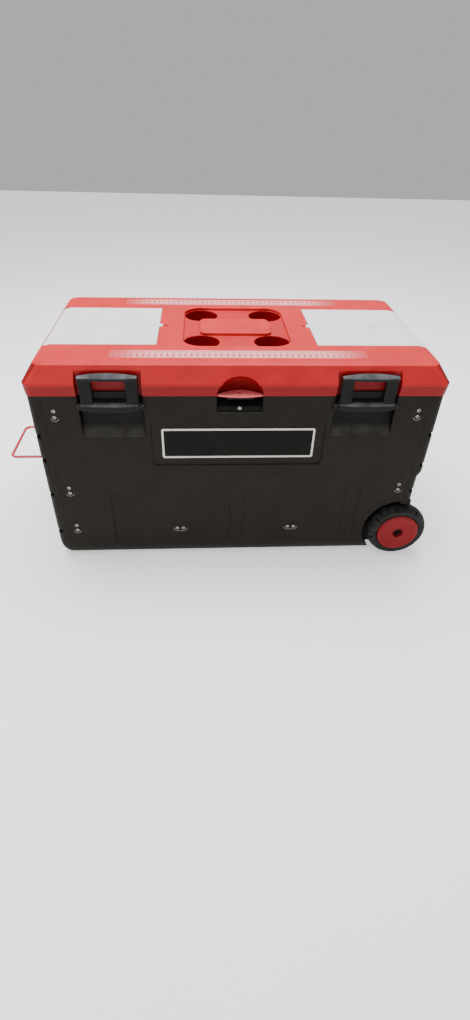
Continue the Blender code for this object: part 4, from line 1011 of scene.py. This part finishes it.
# ---- organisers in the lid
def make_organiser(sx, hand):
    x0, x1, half_y, z0, z1 = COVER
    axis_x, axis_z = COVER_AXIS
    drop = axis_z + COVER_ROLL_R - z1
    side_view = [(x0 + 0.0006, z0), (x1, z0), (axis_x, z0 + drop)]
    side_view += arc((axis_x, axis_z), COVER_ROLL_R, -90, 80, 10)
    side_view += [(x1, z1), (x0 + 0.0008, z1), (x0, z1 - 0.0008), (x0, z0 + 0.0006)]
    cover = extruded("cover_" + hand, [(sx * x, z) for x, z in side_view], -half_y, half_y, "Y")
    ribs = []
    for i in (1, 2):
        x = sx * (BIN_X[0] + BIN_WALL / 2 + i * RIB_PITCH)
        for width, inset, low, high in ((0.0008, 0.006, z1 - 0.0010, z1 + 0.0004),
                                        (0.0010, 0.004, z0 - 0.0004, z0 + 0.0010)):
            ribs.append(box("rib", (x - width, inset - half_y, low), (x + width, half_y - inset, high)))
    ribs.append(box("rib", (sx * (x0 + 0.006), -0.0008, z1 - 0.0010),
                    (sx * (x1 - 0.004), 0.0008, z1 + 0.0004)))
    finger = prism("finger", 0.00485, 0.0085, 0.0030, 0.5138, 0.5168, (sx * 0.17665, 0.0), 5)
    join(cover, *ribs, finger)
    cut(cover, rod("bore", "Y", 0.0015, (sx * axis_x, axis_z), -0.13, 0.13, 16))
    soften(cover, 0.0004)
    piece(cover, "cover_" + hand, "clear_plastic", MILKY, "organiser_cover_" + hand,
          "organiser_hinge_" + hand)

    low, high = sorted(sx * x for x in BIN_X)
    tray = prism("bin_" + hand, (high - low) / 2, BIN_HALF_Y, 0.0015, 0.4824, 0.5128,
                 ((low + high) / 2, 0.0), 3)
    pitch_x, pitch_y = (high - low - BIN_WALL) / 3, (2 * BIN_HALF_Y - BIN_WALL) / 2
    hx, hy = (pitch_x - BIN_WALL) / 2, (pitch_y - BIN_WALL) / 2
    levels = ((0.4842, 0.0030), (0.4852, 0.0010), (0.4880, 0.0), (ABOVE_LID, 0.0))
    cells = []
    for column in range(3):
        for row in range(2):
            middle = (low + BIN_WALL + column * pitch_x + hx, BIN_WALL - BIN_HALF_Y + row * pitch_y + hy)
            cells.append(loft("cell", [rounded(hx - o, hy - o, 0.004, z, 4, middle) for z, o in levels]))
    cut(tray, *cells)
    soften(tray, 0.0003, 1, 34)
    piece(tray, "lid", "clear_plastic", MILKY, "organiser_bin_" + hand)

    pin = rod("cover_pivot_" + hand, "Y", 0.0012, (sx * axis_x, axis_z), -0.1268, 0.1268, 16)
    soften(pin, 0.0002, 1, 40)
    piece(pin, "lid", "steel", ZINC, "organiser_pin_" + hand)
    knob = loft("catch_" + hand, [circle(r, DECK_Z + h, (sx * 0.1640, 0.0), 32) for r, h in (
        (0.0040, 0.0003), (0.0040, 0.0014), (0.0037, 0.0021), (0.0030, 0.0026), (0.0012, 0.0028))])
    soften(knob, 0.0, angle=40)
    piece(knob, "lid", "red_plastic", RED_DEEP, "organiser_catch_" + hand)


for lid_side, lid_hand in ((-1, "left"), (1, "right")):
    make_latch(lid_side, lid_hand)
    make_organiser(lid_side, lid_hand)


# ---- wheels and axle
def make_wheel(side, hand):
    face = (AXLE_X, side * WHEEL_FACE_Y, AXLE_Z)
    hub = turned("hub_" + hand, [
        (0.0140, -0.0006), (0.0150, -0.0002), (0.0175, -0.0004), (0.0200, -0.0012), (0.0390, -0.0012),
        (0.0420, -0.0004), (0.0470, -0.0002), (0.0500, -0.0008), (HUB_R, -0.0030), (HUB_R, -0.0440),
        (0.0465, -0.0440), (0.0465, -0.0170), (0.0150, -0.0170), (0.0130, -0.0454), (0.0064, -0.0454),
        (0.0064, -0.0130), (0.0125, -0.0130), (0.0130, -0.0016)], face, side)
    soften(hub, 0.0004)
    piece(hub, "wheel_" + hand, "red_plastic", RED_HUB, "wheel_hub_" + hand)

    inner = HUB_R + 0.0003
    shape = eased([(inner, -0.0070), (0.0555, -0.0042), (0.0600, -0.0052), (0.0655, -0.0044),
                   (0.0716, -0.0100), (0.0748, -0.0185), (TYRE_R, -0.0250), (0.0748, -0.0315),
                   (0.0716, -0.0400), (0.0655, -0.0456), (0.0600, -0.0448), (0.0555, -0.0458),
                   (inner, -0.0430)], 0.0020, 3)
    tyre = turned("rubber_" + hand, [(p.x, p.y) for p in shape], face, side, 120)
    grooves = []
    for i in range(GROOVES):
        angle = math.radians(i * 360.0 / GROOVES + 12.0)
        for edge, slant in ((-0.0075, 0.55), (-0.0425, -0.55)):
            middle = (AXLE_X + GROOVE_R * math.cos(angle), side * (WHEEL_FACE_Y + edge),
                      AXLE_Z + GROOVE_R * math.sin(angle))
            cutter = box("groove", (-0.0085, -0.0060, -0.0024), (0.0085, 0.0060, 0.0024))
            cutter.data.transform(Matrix.Translation(middle) @ Matrix.Rotation(-angle, 4, "Y")
                                  @ Matrix.Rotation(side * slant, 4, "Z"))
            grooves.append(cutter)
    cut(tyre, gather("grooves", *grooves))
    soften(tyre, 0.0006)
    piece(tyre, "wheel_" + hand, "tyre", RUBBER, "tyre_" + hand)

    nut = turned("nut_" + hand, [(0.0068, 0.0), (0.0098, 0.0), (0.0105, -0.0008), (0.0105, -0.0026),
                                 (0.0063, -0.0026), (0.0063, -0.0005)],
                 (AXLE_X, side * (WHEEL_FACE_Y - 0.0099), AXLE_Z), side, 48)
    soften(nut, 0.0002, 1, 34)
    piece(nut, "case", "steel", AXLE_SHADE_STEEL, "axle_nut_" + hand)


def make_axle():
    end = WHEEL_FACE_Y - 0.0085
    axle = rod("axle_rod", "Y", 0.0060, AXLE, -end, end)
    soften(axle, 0.0007, 2, 40)
    piece(axle, "case", "steel", AXLE_SHADE_STEEL, "axle")


make_wheel(-1, "front")
make_wheel(1, "back")
make_axle()


# ---- pull handle
def make_handle():
    bend, small = 0.014, 0.006
    corner, side = HANDLE_END_X + bend, HANDLE_HALF_Y - bend
    half = [(HANDLE_PIVOT_X, HANDLE_HALF_Y + 0.016), (HANDLE_PIVOT_X, HANDLE_HALF_Y + small)]
    half += arc((HANDLE_PIVOT_X - small, HANDLE_HALF_Y + small), small, 0, -90, 8)[1:]
    half += arc((corner, side), bend, 90, 180, 14)
    path = [(x, y, HANDLE_Z) for x, y in half] + [(x, -y, HANDLE_Z) for x, y in half[::-1]]
    curve = bpy.data.curves.new("handle_path", "CURVE")
    curve.dimensions = "3D"
    curve.bevel_depth = HANDLE_R
    curve.bevel_resolution = 5
    curve.use_fill_caps = True
    spline = curve.splines.new("POLY")
    spline.points.add(len(path) - 1)
    for target, point in zip(spline.points, path):
        target.co = (*point, 1.0)
        target.radius = 1.0 if abs(point[1]) > HANDLE_HALF_Y + 0.004 else 1.42
    rail = link("handle_rod", curve)
    depsgraph = bpy.context.evaluated_depsgraph_get()
    mesh = bpy.data.meshes.new_from_object(rail.evaluated_get(depsgraph))
    bpy.data.objects.remove(rail)
    handle = link("handle_rod", mesh)
    soften(handle, 0.0, angle=40)
    piece(handle, "handle", "red_steel", PAINT, "pull_handle")


make_handle()


# ---- frame nodes that keep their own shape
def dress(node, material, width):
    thing = NODES[node]
    thing.data.materials.clear()
    thing.data.materials.append(material)
    weld_and_bevel(thing, width, 2, 34, "MITER_SHARP")
    thing.data.shade_smooth()
    normals = thing.modifiers.new("normals", "WEIGHTED_NORMAL")
    normals.weight = 60


dress("floor_tray", BLACK, 0.0008)
for bracket in ("handle_bracket_front", "handle_bracket_back"):
    dress(bracket, DARK, 0.0005)
for end in ("left", "right"):
    for part in ("hinge_case_leaf_", "hinge_lid_leaf_", "hinge_pin_"):
        dress(part + end, ZINC, 0.0003)


# ---- stage, light and camera
def make_stage():
    bm = bmesh.new()
    bmesh.ops.create_grid(bm, x_segments=2, y_segments=2, size=6.0)
    floor = mesh_object("floor", bm)
    g = Graph("studio_floor")
    shade = g.mix(g.band(g.noise(1.2, 2.0), 0.3, 0.7), (0.93, 0.93, 0.93), (0.95, 0.95, 0.95))
    floor.data.materials.append(g.finish(shade, 0.9, Emission_Color=(1.0, 1.0, 1.0), Emission_Strength=0.6))

    world = bpy.data.worlds.new("studio")
    bpy.context.scene.world = world
    world.use_nodes = True
    backdrop = world.node_tree.nodes["Background"]
    backdrop.inputs["Color"].default_value = (1.0, 1.0, 1.0, 1.0)
    backdrop.inputs["Strength"].default_value = 0.50


def area_light(name, where, target, size, power):
    data = bpy.data.lights.new(name, "AREA")
    data.shape = "RECTANGLE"
    data.size, data.size_y = size
    data.energy = power
    lamp = link(name, data)
    lamp.location = where
    lamp.rotation_euler = (Vector(target) - Vector(where)).to_track_quat("-Z", "Y").to_euler()


def make_camera():
    data = bpy.data.cameras.new("camera")
    data.lens = 18.63
    data.sensor_width = 36.0
    data.sensor_fit = "AUTO"
    data.clip_start = 0.01
    camera = link("camera", data)
    right, up = Vector((0.99821, -0.05395, 0.02559)), Vector((0.01336, 0.61938, 0.78498))
    back = right.cross(up)
    camera.matrix_world = Matrix.Translation((-0.0794, -1.2651, 0.9528)) @ Matrix(
        (right, up, back)).transposed().to_4x4()
    bpy.context.scene.camera = camera


make_stage()
area_light("key", (-0.2, 0.45, 2.5), (0.0, 0.0, 0.4), (2.6, 1.6), 125.0)
area_light("front_fill", (-1.0, -1.9, 2.2), (0.0, 0.0, 0.25), (1.6, 1.2), 12.0)
make_camera()
